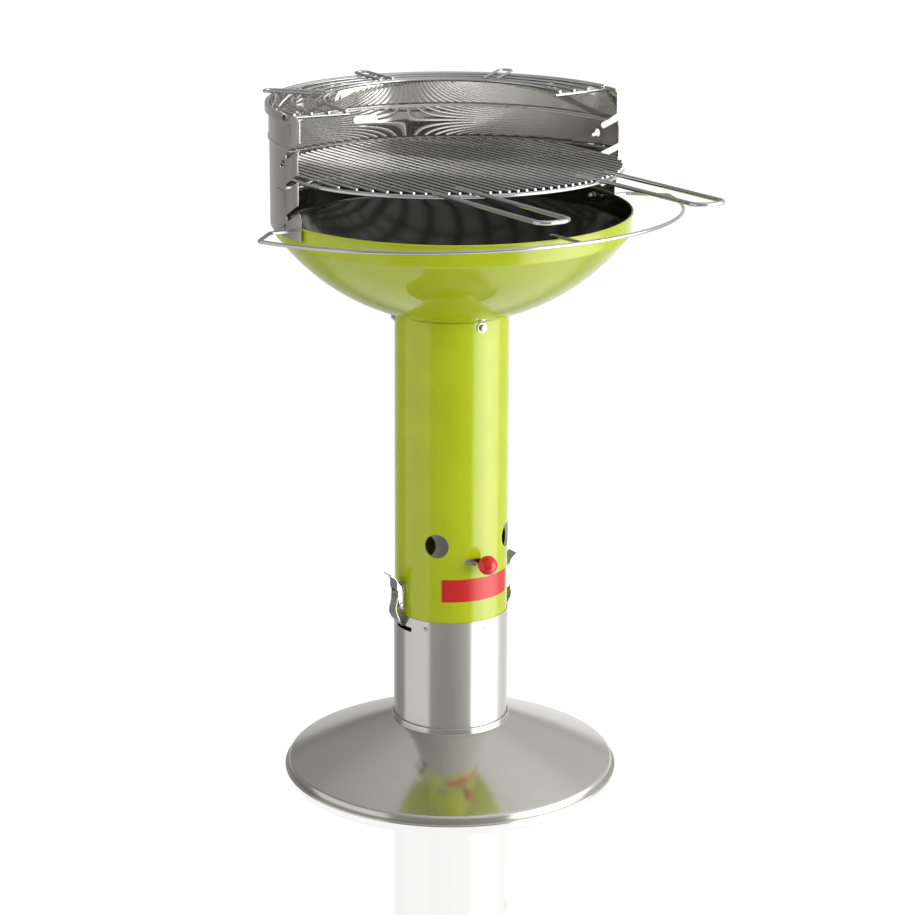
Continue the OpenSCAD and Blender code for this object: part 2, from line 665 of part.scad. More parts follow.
// Bowl: a neck in the column, a dish, a sloping wall, an upright band and a rolled rim
module bowl() {
    foot_a = asin(bowl_neck_mid / dish_mid_r);
    band_top = rim_z - (rim_roll + bowl_t) / 2;
    band_corner = [band_mid_r, band_bottom];
    path = concat(
        [[bowl_neck_mid, bowl_neck_bottom]],
        arc([0, dish_z], dish_mid_r, foot_a - 90, slope_at - 90, 16),
        corner([slope_r, dish_z - dish_mid_r * cos(slope_at)], band_corner, [band_mid_r, rim_z], band_bend),
        [[band_mid_r, band_top]],
        arc([band_mid_r + rim_roll / 2, band_top], rim_roll / 2, 150, 0, 5),
        [[band_mid_r + rim_roll, band_top - rim_roll / 3]]
    );
    color(lime) difference() {
        spun(path, bowl_t);
        for (i = [0:bowl_screws_n - 1]) facing(i * 360 / bowl_screws_n)
            radial_rod(bolt_d + bolt_gap, bowl_neck_r - 10, bowl_neck_r + past, bowl_screw_z);
        for (bearing = shield_bolt_bearings()) facing(bearing)
            radial_rod(bolt_d + bolt_gap, bowl_r - 10, bowl_r + past, shield_bolt_z);
        translate([0, -ring_pivot_y, ring_z]) rotate([0, 90, 0])
            cylinder(d = ring_d + 2 * run_gap, h = 2 * bowl_r + 2 * past, center = true, $fn = small);
    }
}

module bowl_screws() color(steel) for (i = [0:bowl_screws_n - 1]) facing(i * 360 / bowl_screws_n) {
    radial_rod(bolt_d, bowl_neck_r - bowl_t - nut_h - 2, column_r + washer_t + 1, bowl_screw_z);
    translate([column_r + washer_t + 2 * run_gap, 0, bowl_screw_z]) rotate([0, 90, 0])
        cylinder(d1 = head_d, d2 = 0.7 * head_d, h = head_h, $fn = small);
}

module bowl_washers() color(steel) for (i = [0:bowl_screws_n - 1]) facing(i * 360 / bowl_screws_n) difference() {
    radial_rod(washer_d, column_r + run_gap, column_r + washer_t + run_gap, bowl_screw_z);
    radial_rod(bolt_d + 2 * run_gap, column_r - past, column_r + washer_t + past, bowl_screw_z);
}

// A hexagon nut along the radial direction
module radial_nut(u0, z) translate([u0, 0, z]) rotate([0, 90, 0]) difference() {
    cylinder(d = nut_w / cos(30), h = nut_h, $fn = 6);
    translate([0, 0, -past]) cylinder(d = bolt_d + 2 * run_gap, h = nut_h + 2 * past, $fn = small);
}

module bowl_nuts() color(steel) for (i = [0:bowl_screws_n - 1]) facing(i * 360 / bowl_screws_n)
    radial_nut(sqrt(pow(bowl_neck_r - bowl_t, 2) - nut_w * nut_w / 3) - nut_h - run_gap, bowl_screw_z);

// Charcoal grate: a pressed disc with rings of holes
module charcoal_grate() color([0.3, 0.3, 0.3]) translate([0, 0, coal_z]) difference() {
    cylinder(r = coal_grate_r - rest_gap, h = coal_t);
    for (ring = [1:coal_rings]) let (n = 6 * ring) for (i = [0:n - 1])
        rotate([0, 0, i * 360 / n]) translate([(ring - 0.25) * coal_step, 0, -past])
            cylinder(d = coal_hole_d, h = coal_t + 2 * past, $fn = 24);
}

// Windshield
function shield_bolt_bearings() = [-shield_bolt_at, shield_bolt_at, 180];

// One grate slot: it slopes down and back from the edge to the support's seat
module grate_slot(level) {
    along = [-cos(slot_rise), sin(slot_rise)];
    seat = [ear_y, level_z(level)] + (slot_w - support_d - 2 * rest_gap) / 2 * [sin(slot_rise), cos(slot_rise)]
        - rest_gap * along;
    mouth = (seat[0] - shield_edge_y) / cos(slot_rise);
    lip = seat + along * mouth - slot_w / 2 / cos(slot_rise) * [0, 1];
    translate([shield_in_r - 30, 0, 0]) rotate([90, 0, 90]) linear_extrude(60) {
        translate(seat) circle(d = slot_w, $fn = small);
        translate(seat) rotate(180 - slot_rise) translate([0, -slot_w / 2]) square([mouth + 30, slot_w]);
        translate(lip) polygon([[-past, 3 * past], [2.5, -1.2], [0.6, -3.5], [-past, -6]]);
    }
}

// A slit along three sides of a tab
module tab_slit(w, h) difference() {
    translate([-w / 2, -h / 2]) square([w, h]);
    translate([slit_w - w / 2, -h / 2 - past]) square([w - 2 * slit_w, h + past - slit_w]);
}

module windshield() {
    hem_top = shield_top - shield_t / 2;
    hem_mid_r = hem_out_r - shield_t / 2;
    path = concat(
        [[shield_mid_r, shield_bottom], [shield_mid_r, bead_z - bead_half]],
        [[shield_mid_r + 0.6 * bead_out + upper_step / 2, bead_z - bead_half / 2],
            [shield_upper_r + bead_out, bead_z], [shield_upper_r + 0.6 * bead_out, bead_z + bead_half / 2],
            [shield_upper_r, bead_z + bead_half]],
        corner([shield_upper_r, bead_z], [shield_upper_r, hem_top], [hem_out_r, hem_top], 2, 4),
        corner([shield_upper_r, hem_top], [hem_mid_r, hem_top], [hem_mid_r, bead_z], 2, 4),
        [[hem_mid_r, shield_top - hem_h]]
    );
    hem_from = rack_notch_at + asin((rack_d / 2 + 1.5) / shield_upper_r);
    notch_z = rack_z - rack_d / 2 - rest_gap;
    color(steel) difference() {
        facing(shield_edge_at) rotate_extrude(angle = shield_sweep) polygon(sheet(path, shield_t));
        both_sides() {
            for (level = [-1:1]) grate_slot(level);
            facing(shield_edge_at - 1) rotate_extrude(angle = hem_from - shield_edge_at + 1)
                translate([shield_upper_r + shield_t / 2, shield_top - hem_h - past])
                    square([hem_w + past, hem_h + 2 * past]);
            facing(shield_edge_at - 1) rotate_extrude(angle = hem_from - shield_edge_at + 1)
                translate([shield_in_r - past, shield_top - 2.2]) square([hem_w + 3, 3 + past]);
            facing(rack_notch_at) outward(shield_in_r - 3, hem_out_r + past)
                translate([-rack_d / 2 - rest_gap, notch_z]) square([rack_d + 2 * rest_gap, 20]);
            facing(shield_edge_at) outward(shield_in_r - 3, hem_out_r + past)
                polygon([[-9, shield_top - 9], [-9, shield_top + past], [9, shield_top + past], [6, shield_top - 3],
                    [1.5, shield_top - 7]]);
            facing(92.5) outward(shield_in_r - 3, hem_out_r + past) translate([0, shield_top - 24]) tab_slit(30, 22);
            facing(97.2) outward(shield_in_r - 3, hem_out_r + past) translate([0, ear_z - 18])
                tab_slit(34, 24);
            facing(94.6) outward(shield_in_r - 3, hem_out_r + past) translate([0, level_z(1) - 11]) {
                circle(r = 5.6, $fn = small);
                rotate(-slot_rise) translate([0, -2.4]) square([11, 4.8]);
                translate([11 * cos(slot_rise), -11 * sin(slot_rise)]) circle(r = 2.4, $fn = small);
            }
            facing(shield_bolt_at - 1.2) outward(shield_in_r - 3, hem_out_r + past)
                translate([-3, shield_bolt_z + 6]) square([6, 4]);
        }
        facing(180) outward(shield_in_r - 3, hem_out_r + past) for (level = [-1:1])
            translate([0, tongue_world_z() + level * level_pitch + 1]) {
                square([back_slot_w - back_slot_h, back_slot_h], center = true);
                for (end = [-0.5, 0.5]) translate([end * (back_slot_w - back_slot_h), 0])
                    circle(d = back_slot_h, $fn = small);
            }
        for (bearing = shield_bolt_bearings()) facing(bearing)
            radial_rod(bolt_d + bolt_gap, shield_in_r - 3, hem_out_r, shield_bolt_z);
        translate([0, -ring_pivot_y, ring_z]) rotate([0, 90, 0])
            cylinder(d = ring_d + 2 * run_gap, h = 2 * hem_out_r, center = true, $fn = small);
    }
}

module shield_bolts() color(steel) for (bearing = shield_bolt_bearings()) facing(bearing) {
    radial_rod(bolt_d, bowl_in_r - nut_h - 1, shield_out_r + 1, shield_bolt_z);
    radial_rod(head_d, shield_out_r + run_gap, shield_out_r + head_h, shield_bolt_z);
}

module shield_spacers() color(steel) for (bearing = shield_bolt_bearings()) facing(bearing) difference() {
    radial_rod(nut_w, bowl_r + run_gap, shield_in_r - run_gap, shield_bolt_z);
    radial_rod(bolt_d + 2 * run_gap, bowl_r - past, shield_in_r + past, shield_bolt_z);
}

// Dome nuts inside the bowl
module shield_nuts() color(steel) for (bearing = shield_bolt_bearings()) facing(bearing) difference() {
    union() {
        translate([bowl_in_r - nut_h - 0.4, 0, shield_bolt_z]) rotate([0, 90, 0])
            cylinder(d = nut_w / cos(30), h = nut_h, $fn = 6);
        translate([bowl_in_r - nut_h - 0.4, 0, shield_bolt_z]) sphere(d = nut_w - 0.5, $fn = small);
    }
    radial_rod(bolt_d + 2 * run_gap, bowl_in_r - nut_h - 1 - run_gap, bowl_r, shield_bolt_z);
}

// The ring's own plane, hinged on the line through its two ends
module ring_plane() translate([0, -ring_pivot_y, ring_z]) rotate([-ring_tilt, 0, 0]) translate([0, ring_pivot_y, 0])
    children();

module utensil_ring() color(chrome) ring_plane() {
    // The front curve ends a little before the ring's widest place
    side_a = asin(ring_half_w / ring_r) - 3;
    run = [cos(side_a), sin(side_a)];
    tip = ring_r * [sin(side_a), -cos(side_a)] + [0, ring_y0];
    peak = tip + run * (ring_half_w + ring_bend / 8 - tip[0]) / run[0];
    bend([0, ring_y0], ring_r, -90 - side_a, 2 * side_a, ring_d);
    both_sides() wire([tip, peak, [ring_knee_x, -ring_pivot_y], [ring_end_x, -ring_pivot_y]], ring_bend, ring_d);
}

module ring_stub() color(chrome) ring_plane() translate([stub_x, 0, 0]) rotate([90, 0, -90])
    wire([[ring_front - 2.5, 0], [bowl_in_r - 14, 0], [bowl_in_r - 17, -8]], 5, ring_d - 0.4);

// The grate's own plane, with the rim wire's centre at its origin
module grate_plane() translate([0, 0, grate_z]) rotate([-grate_tilt, 0, 0]) children();

function tongue_world_z() = grate_z - tongue_y * sin(grate_tilt) - support_drop * cos(grate_tilt);

module grate_rim() color(chrome) grate_plane() rotate_extrude() translate([grate_r, 0])
    circle(d = grate_rim_d, $fn = small);

module grate_bars() color(chrome) grate_plane() translate([0, 0, bar_lift]) for (i = [-bars_half:bars_half]) {
    x = i * bar_pitch;
    half = sqrt(grate_r * grate_r - x * x) + 1.5;
    translate([x, 0, 0]) rotate([90, 0, 0]) cylinder(d = bar_d, h = 2 * half, center = true, $fn = small);
}

// The cross wire under the bars, whose ears lie in the slots, and the tongue in the back slot
module grate_supports() color(chrome) grate_plane() {
    knee = grate_r - grate_rim_d - 1;
    under_bars = bar_lift - (bar_d + support_d) / 2 + weld;
    translate([0, support_y, 0]) rotate([90, 0, 0])
        wire([[-ear_half, -support_drop], [-knee, -support_drop], [-knee + 9, under_bars], [knee - 9, under_bars],
            [knee, -support_drop], [ear_half, -support_drop]], 4, support_d);
    translate([0, 0, -support_drop]) wire([[-tongue_w / 2, grate_r - 30], [-tongue_w / 2, tongue_y],
        [tongue_w / 2, tongue_y], [tongue_w / 2, grate_r - 30]], 6, support_d);
}

module grate_handle() color(chrome) grate_plane() translate([0, 0, leg_lift]) {
    half = (leg_out - leg_in) / 2;
    wire([[leg_in, -handle_root], [leg_in, -handle_reach], [leg_out, -handle_reach], [leg_out, -handle_root]],
        0.72 * half, handle_d);
}

// A hoop of the rack between its two ends
module rack_hoop(i, d, z) translate([0, hoop_y(i), z]) rotate([0, 0, hoop_from(i)])
    rotate_extrude(angle = 180 - 2 * hoop_from(i)) translate([hoop_r(i), 0]) circle(d = d, $fn = small);

module rack_inner_hoop() color(chrome)
    rack_hoop(rack_hoops_n, rack_d, rack_z + rack_d - weld);

module rack_hoops() color(chrome) for (i = [0:rack_hoops_n - 1])
    rack_hoop(i, rack_thin_d, rack_z + (rack_d + rack_thin_d) / 2 - weld);

module rack_end_wires() color(chrome) both_sides() translate([0, 0, rack_z])
    wire([[shield_out_r + 2, rack_end_y], [rack_end_x - 4, rack_end_y],
        [rack_in_r - 7, rack_line_y(rack_in_r - 7)]], 6, rack_d);

// Where a leg of a hook ends on the inner hoop
function leg_end(i, v) = rack_in_back * cos(i * rack_hook_step) + 0.4 * rack_d
    + sqrt(pow(rack_in_r, 2) - pow(v + rack_in_back * sin(i * rack_hook_step), 2));

// A hairpin hook lies on the hoops and reaches over the windshield's hem
module rack_hooks() color(chrome) for (i = [-1:1]) facing(180 + i * rack_hook_step) {
    half = rack_hook_w / 2;
    translate([0, 0, rack_over_z]) wire([[leg_end(i, -half), -half], [rack_tip_r, -half], [rack_tip_r, half],
        [leg_end(i, half), half]], 0.9 * half, rack_thin_d);
}

foot();
ash_pot();
pot_bolts();
pot_nuts();
column();
air_ring();
air_knob_stem();
air_knob();
badge_plate();
mirror([1, 0, 0]) latch_base();  // latch_base_left
mirror([1, 0, 0]) latch_lever();  // latch_lever_left
mirror([1, 0, 0]) latch_hook();  // latch_hook_left
mirror([1, 0, 0]) latch_pivot();  // latch_pivot_left
mirror([1, 0, 0]) latch_hook_pin();  // latch_hook_pin_left
latch_base();  // latch_base_right
latch_lever();  // latch_lever_right
latch_hook();  // latch_hook_right
latch_pivot();  // latch_pivot_right
latch_hook_pin();  // latch_hook_pin_right
latch_rivets();
bowl();
bowl_screws();
bowl_washers();
bowl_nuts();
charcoal_grate();
windshield();
shield_bolts();
shield_spacers();
shield_nuts();
utensil_ring();
ring_stub();
grate_rim();
grate_bars();
grate_supports();
mirror([1, 0, 0]) grate_handle();  // grate_handle_left
grate_handle();  // grate_handle_right
rack_inner_hoop();
rack_hoops();
rack_end_wires();
rack_hooks();
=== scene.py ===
"""Looks of the pillar charcoal grill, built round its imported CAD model.

Sizes are in millimetres until a piece is made, and in metres in Blender. The
origin is on the column's axis at the floor, +Z is up and the user stands at -Y.
Bearings are degrees from the front, positive towards +X.
"""

from __future__ import annotations

import logging
import math
from dataclasses import dataclass
from enum import Enum
from typing import Callable, Iterable, Sequence

import bmesh
import bpy
import numpy as np
from mathutils import Matrix, Vector

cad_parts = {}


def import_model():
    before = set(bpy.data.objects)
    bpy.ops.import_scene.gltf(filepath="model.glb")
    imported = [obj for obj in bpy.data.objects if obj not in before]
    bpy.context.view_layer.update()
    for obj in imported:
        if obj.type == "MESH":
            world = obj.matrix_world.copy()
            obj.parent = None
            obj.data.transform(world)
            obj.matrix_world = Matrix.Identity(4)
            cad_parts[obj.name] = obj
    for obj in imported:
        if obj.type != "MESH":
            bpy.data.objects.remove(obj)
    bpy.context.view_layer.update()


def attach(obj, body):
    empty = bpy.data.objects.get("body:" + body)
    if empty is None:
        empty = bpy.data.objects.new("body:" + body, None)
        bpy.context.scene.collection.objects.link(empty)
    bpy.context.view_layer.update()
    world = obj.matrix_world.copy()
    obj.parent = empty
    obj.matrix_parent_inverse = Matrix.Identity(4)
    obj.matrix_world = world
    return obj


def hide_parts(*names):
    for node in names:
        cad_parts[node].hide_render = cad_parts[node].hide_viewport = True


LOG = logging.getLogger("grill")
MM = 0.001
# Crease angle of a piece whose edges are softened
SOFT_CREASE = 60.0
# How many degrees a face may lean and still follow its true surface direction
ALONG = 14.0
Flat = tuple[float, float]
Ring = Sequence[Sequence[float]]
Radii = float | Sequence[float]
Field = Callable[[np.ndarray], np.ndarray]
Tree = bpy.types.NodeTree
Socket = bpy.types.NodeSocket
Inputs = dict[int | str, object]
Stops = Sequence[tuple[float, float | str]]


class Body(Enum):
    """The CAD bodies that a piece can ride on."""

    STAND = "stand"
    DAMPER = "air_damper"
    LEVER_LEFT = "lever_left"
    LEVER_RIGHT = "lever_right"
    HOOK_LEFT = "hook_left"
    HOOK_RIGHT = "hook_right"
    GRATE = "cooking_grate"
    RACK = "warming_rack"
    RING = "tool_ring"


class Side(Enum):
    """The two sides of the grill, by the sign of X."""

    LEFT = -1
    RIGHT = 1


# ---------------------------------------------------------------- outlines


def polar(radius: float, bearing: float, z: float) -> tuple[float, float, float]:
    """The point at a distance from the axis, a bearing and a height."""
    a = math.radians(bearing)
    return (radius * math.sin(a), -radius * math.cos(a), z)


def facing(bearing: float, z: float = 0.0, out: float = 0.0) -> Matrix:
    """Turns (across, up, out) at a bearing, a height and a distance into the part's frame."""
    away, up = Vector(polar(1.0, bearing, 0.0)), Vector((0.0, 0.0, 1.0))
    turn = Matrix((up.cross(away), up, away)).transposed().to_4x4()
    return turn @ Matrix.Translation((0.0, z, out))


def tilted(y: float, z: float, degrees: float) -> Matrix:
    """The frame of a piece whose front is raised by turning it about the line at (y, z)."""
    turn = Matrix.Rotation(math.radians(-degrees), 4, "X")
    return Matrix.Translation((0.0, y, z)) @ turn @ Matrix.Translation((0.0, -y, 0.0))


def arc(centre: Flat, radius: float, start: float, end: float, steps: int) -> list[Flat]:
    """Points of a circular arc between two angles in degrees, both ends included."""
    found = []
    for i in range(steps + 1):
        a = math.radians(start + (end - start) * i / steps)
        found.append((centre[0] + radius * math.cos(a), centre[1] + radius * math.sin(a)))
    return found


def rounded(
    points: Sequence[Flat], radii: Radii, closed: bool = False, steps: int = 8
) -> list[Flat]:
    """Rounds the corners of a flat path.

    Args:
        points: The path's corners.
        radii: One bend radius for all corners, or one for each point.
        closed: Whether the path is a closed outline.
        steps: Number of chords in each bend.

    Returns:
        The path with its bends drawn as short chords.
    """
    n = len(points)
    wanted = [radii] * n if isinstance(radii, (int, float)) else list(radii)
    found: list[Flat] = []
    for i, p in enumerate(points):
        if not closed and i in (0, n - 1):
            found.append(p)
            continue
        b = np.array(p, float)
        u = np.array(points[i - 1], float) - b
        v = np.array(points[(i + 1) % n], float) - b
        lu, lv = np.linalg.norm(u), np.linalg.norm(v)
        u, v = u / lu, v / lv
        half = math.acos(max(-1.0, min(1.0, float(u @ v)))) / 2
        if wanted[i] <= 0 or half > math.radians(89.5):
            found.append(p)
            continue
        cut = min(wanted[i] / math.tan(half), 0.49 * lu, 0.49 * lv)
        r = cut * math.tan(half)
        mid = b + (u + v) / np.linalg.norm(u + v) * r / math.sin(half)
        first, last = b + u * cut - mid, b + v * cut - mid
        a0, a1 = math.atan2(first[1], first[0]), math.atan2(last[1], last[0])
        turn = (a1 - a0 + math.pi) % (2 * math.pi) - math.pi
        for k in range(steps + 1):
            a = a0 + turn * k / steps
            found.append((mid[0] + r * math.cos(a), mid[1] + r * math.sin(a)))
    return found


def beside(path: Sequence[Flat], width: float) -> list[Flat]:
    """The line that runs a fixed distance to the left of a flat path."""
    p = np.array(path, float)
    d = np.diff(p, axis=0)
    d /= np.linalg.norm(d, axis=1)[:, None]
    left = np.stack([-d[:, 1], d[:, 0]], 1)
    a = np.vstack([left[:1], left])
    b = np.vstack([left, left[-1:]])
    shift = (a + b) / (1 + np.sum(a * b, axis=1))[:, None]
    return [tuple(q) for q in p + width * shift]


def sheet(path: Sequence[Flat], thickness: float) -> list[Flat]:
    """The closed outline of a sheet that follows a flat path, its left face first."""
    return beside(path, thickness / 2) + beside(path, -thickness / 2)[::-1]


def slab(a: float, b: float, c: float, d: float, radii: Radii = 0.0, steps: int = 5) -> list[Flat]:
    """The outline of a rectangle from (a, c) to (b, d) with rounded corners."""
    corners = [(a, c), (b, c), (b, d), (a, d)]
    return rounded(corners, radii, True, steps) if radii else corners


def screw(start: float, seat: float, head: Sequence[Flat], radii: Sequence[float]) -> list[Flat]:
    """The outline of a 6 mm screw whose rounded head's corners are given above its seat."""
    corners = [(3.0, seat), *((r, seat + h) for r, h in head)]
    return [(0.0, start), (3.0, start), *rounded(corners, radii, steps=6)]


def evenly(start: float, end: float, pitch: float) -> list[float]:
    """Places from start to end with about that pitch between them."""
    n = max(1, round(abs(end - start) / pitch))
    return [start + (end - start) * i / n for i in range(n + 1)]


# ---------------------------------------------------------------- meshes


class Shape:
    """Points and faces of one piece, in millimetres, before it becomes an object."""

    def __init__(self) -> None:
        """Starts with nothing in it."""
        self.points: list[Sequence[float]] = []
        self.faces: list[list[int]] = []
        self.kinds: list[int] = []

    def skin(
        self,
        rings: Sequence[Ring],
        at: Matrix | None = None,
        loop: bool = False,
        kinds: Sequence[int] | None = None,
    ) -> "Shape":
        """Joins rings of points with faces.

        Args:
            rings: Rings with the same number of points each.
            at: Where the rings' own frame stands in the part's frame.
            loop: Whether the last ring joins the first one.
            kinds: The finish number of each side of a ring.

        Returns:
            This shape.
        """
        start, n, m = len(self.points), len(rings[0]), len(rings)
        kinds = kinds or [0] * n
        cloud = np.array(rings, float).reshape(-1, 3)
        if at is not None:
            turn = np.array(at, float)
            cloud = cloud @ turn[:3, :3].T + turn[:3, 3]
        self.points.extend(cloud.tolist())
        for i in range(m if loop else m - 1):
            a, b = start + i * n, start + ((i + 1) % m) * n
            for j in range(n):
                k = (j + 1) % n
                self.faces.append([a + j, a + k, b + k, b + j])
                self.kinds.append(kinds[j])
        if not loop:
            self.faces.append([start + j for j in range(n)][::-1])
            self.faces.append([start + (m - 1) * n + j for j in range(n)])
            self.kinds.extend([kinds[-1]] * 2)
        return self

    def turned(
        self,
        outline: Sequence[Flat],
        at: Matrix | None = None,
        sweep: tuple[float, float] = (0.0, 360.0),
        steps: int = 160,
        kinds: Sequence[int] | None = None,
    ) -> "Shape":
        """Turns a closed outline of (radius, height) about an axis.

        Args:
            outline: The outline, which may touch the axis.
            at: Where the axis stands; without it, it is the column's own.
            sweep: First and last bearing.
            steps: Number of chords in the sweep.
            kinds: The finish number of each side of the outline.

        Returns:
            This shape.
        """
        loop = abs(sweep[1] - sweep[0]) >= 360.0
        rings = []
        for i in range(steps if loop else steps + 1):
            bearing = sweep[0] + (sweep[1] - sweep[0]) * i / steps
            rings.append([polar(r, bearing, z) for r, z in outline])
        return self.skin(rings, at, loop, kinds)

    def plate(
        self, outline: Sequence[Flat], low: float, high: float, at: Matrix, sideways: bool = False
    ) -> "Shape":
        """Cuts a plate from an outline.

        Args:
            outline: Its (across, up) points, or its (out, up) points if it is sideways.
            low: Where the plate starts along its thickness.
            high: Where it ends.
            at: A matrix from facing().
            sideways: Whether the thickness runs across instead of outwards.

        Returns:
            This shape.
        """
        if sideways:
            rings = [[(w, z, u) for u, z in outline] for w in (low, high)]
        else:
            rings = [[(v, z, w) for v, z in outline] for w in (low, high)]
        return self.skin(rings, at)

    def wire(
        self,
        path: Sequence[Sequence[float]],
        diameter: float,
        closed: bool = False,
        sides: int = 18,
        at: Matrix | None = None,
    ) -> "Shape":
        """Runs a round wire along a path, with softly broken ends.

        Args:
            path: Points of the wire's middle line.
            diameter: Its diameter.
            closed: Whether it joins itself.
            sides: Number of sides of its section.
            at: Where the path's own frame stands.

        Returns:
            This shape.
        """
        p, radius = np.array(path, float), diameter / 2
        if closed:
            d = np.roll(p, -1, 0) - np.roll(p, 1, 0)
        else:
            d = np.vstack([p[1] - p[0], p[2:] - p[:-2], p[-1] - p[-2]])
        d /= np.linalg.norm(d, axis=1)[:, None]
        upright = abs(d[0][2]) >= 0.9
        side = np.cross(d[0], (1.0, 0.0, 0.0) if upright else (0.0, 0.0, 1.0))
        turn = np.linspace(0, 2 * np.pi, sides, endpoint=False)[:, None]
        # Depth and width of the rings at an end, in radii
        soft = ((0.0, 0.72), (0.12, 0.93), (0.3, 1.0))
        rings = []
        for i, (q, t) in enumerate(zip(p, d)):
            side = side - t * (side @ t)
            side = side / np.linalg.norm(side)
            circle = radius * (np.cos(turn) * side + np.sin(turn) * np.cross(t, side))
            if closed or 0 < i < len(p) - 1:
                rings.append(q + circle)
            elif i == 0:
                rings += [q + depth * radius * t + width * circle for depth, width in soft]
            else:
                rings += [q - depth * radius * t + width * circle for depth, width in soft[::-1]]
        return self.skin(rings, at, closed)


def read(items: bpy.types.bpy_prop_collection, name: str, width: int) -> np.ndarray:
    """Reads whole numbers (width 1) or directions and places (width 3) of a mesh's items."""
    found = np.zeros(len(items) * width, np.int32 if width == 1 else np.float32)
    items.foreach_get(name, found)
    return found if width == 1 else found.reshape(-1, width).astype(float)


def remade(made: bpy.types.Object) -> None:
    """Gives an object the mesh that its modifiers make, and takes them off."""
    seen = made.evaluated_get(bpy.context.evaluated_depsgraph_get())
    mesh = bpy.data.meshes.new_from_object(seen)
    made.modifiers.clear()
    old, made.data = made.data, mesh
    bpy.data.meshes.remove(old)


def solid(shape: Shape, name: str) -> bpy.types.Object:
    """Makes an object of a shape, with clean faces that look outwards."""
    mesh = bpy.data.meshes.new(name)
    mesh.from_pydata([[c * MM for c in p] for p in shape.points], [], shape.faces)
    mesh.polygons.foreach_set("material_index", shape.kinds)
    work = bmesh.new()
    work.from_mesh(mesh)
    bmesh.ops.remove_doubles(work, verts=work.verts, dist=1e-7)
    bmesh.ops.recalc_face_normals(work, faces=work.faces)
    work.to_mesh(mesh)
    work.free()
    made = bpy.data.objects.new(name, mesh)
    bpy.context.scene.collection.objects.link(made)
    return made


def cut_away(made: bpy.types.Object, tools: Shape) -> None:
    """Cuts the tools' shape out of an object."""
    cutter = solid(tools, "cutter")
    cut = made.modifiers.new("cut", "BOOLEAN")
    cut.object, cut.operation, cut.solver, cut.use_self = cutter, "DIFFERENCE", "EXACT", True
    remade(made)
    bpy.data.objects.remove(cutter)


def soften_edges(made: bpy.types.Object, width: float, crease: float) -> None:
    """Bevels the edges of an object that are sharper than a crease."""
    bevel = made.modifiers.new("soft edges", "BEVEL")
    bevel.width, bevel.segments, bevel.limit_method = width * MM, 2, "ANGLE"
    bevel.angle_limit = math.radians(crease + 5)
    remade(made)


def moved(made: bpy.types.Object, shift: Field) -> None:
    """Moves an object's points, given and returned in millimetres."""
    place = shift(read(made.data.vertices, "co", 3) / MM) * MM
    made.data.vertices.foreach_set("co", place.astype(np.float32).ravel())
    made.data.update()


def shade(made: bpy.types.Object, crease: float, field: Field | None = None) -> None:
    """Shades an object smoothly between its creases.

    Args:
        made: The object.
        crease: Angle in degrees over which an edge stays sharp.
        field: The true surface direction at points, in millimetres, for faces that
            lie along it, where cuts leave long faces. Without it, large faces lead.
    """
    mesh = made.data
    mesh.shade_smooth()
    mesh.set_sharp_from_angle(angle=math.radians(crease))
    if field is None:
        made.modifiers.new("lead", "WEIGHTED_NORMAL").keep_sharp = True
        remade(made)
        return
    corner = read(mesh.corner_normals, "vector", 3)
    want = field(read(mesh.vertices, "co", 3)[read(mesh.loops, "vertex_index", 1)] / MM)
    flat = np.repeat(read(mesh.polygons, "normal", 3), read(mesh.polygons, "loop_total", 1), axis=0)
    lean = np.sum(flat * want, axis=1)
    along = np.abs(lean) > math.cos(math.radians(ALONG))
    corner[along] = (want * np.sign(lean)[:, None])[along]
    mesh.normals_split_custom_set(corner.tolist())


def eased(share: np.ndarray) -> np.ndarray:
    """A share from 0 to 1 that starts and ends gently."""
    return share * share * (3 - 2 * share)


def outwards(points: np.ndarray) -> np.ndarray:
    """The direction away from the column's axis at each point."""
    flat = points * np.array([1.0, 1.0, 0.0])
    return flat / np.maximum(np.linalg.norm(flat, axis=1), 1e-9)[:, None]


def bearings(points: np.ndarray) -> np.ndarray:
    """The bearing of each point."""
    return np.degrees(np.arctan2(points[:, 0], -points[:, 1]))


def piece(
    shape: Shape,
    name: str,
    body: Body,
    slot: str,
    finishes: Sequence["Finish"],
    stands_for: Iterable[str],
    tools: Shape | None = None,
    crease: float = 32.0,
    soften: float = 0.0,
    field: Field | None = None,
    shift: Field | None = None,
) -> None:
    """Makes one finished piece of the grill.

    Args:
        shape: Its faces.
        name: Its name.
        body: The CAD body it rides on.
        slot: The record's material slot; not used.
        finishes: Its finishes, in the order of the shape's kinds.
        stands_for: The CAD nodes that it replaces.
        tools: What is cut out of it.
        crease: Angle over which an edge stays sharp.
        soften: Width of the bevel on its sharp edges.
        field: The true surface direction, for shade().
        shift: A last move of its points.
    """
    made = solid(shape, name)
    for finish in finishes:
        made.data.materials.append(finish.material())
    if tools is not None:
        cut_away(made, tools)
    if soften:
        soften_edges(made, soften, crease)
    if shift is not None:
        moved(made, shift)
    shade(made, SOFT_CREASE if soften else crease, field)
    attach(made, body.value)
    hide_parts(*stands_for)
    LOG.info("%s: %d faces on %s", name, len(made.data.polygons), body.value)


def chromed(shape: Shape, name: str, body: Body, node: str) -> None:
    """Makes one chromed piece of wire."""
    piece(shape, name, body, "wire_chrome", [CHROME_PLATE], [node])


def fastener(shape: Shape, name: str, node: str, finish: Finish, crease: float = 32.0) -> None:
    """Makes one set of fasteners."""
    piece(shape, name, Body.STAND, "fastener_steel", [finish], [node], crease=crease)


def dress(node: str, finish: Finish) -> None:
    """Gives a CAD node that stays its finish."""
    mesh = bpy.data.objects[node].data
    mesh.materials.clear()
    mesh.materials.append(finish.material())
    LOG.info("%s keeps its CAD shape, in %s", node, finish.name)


# ---------------------------------------------------------------- finishes


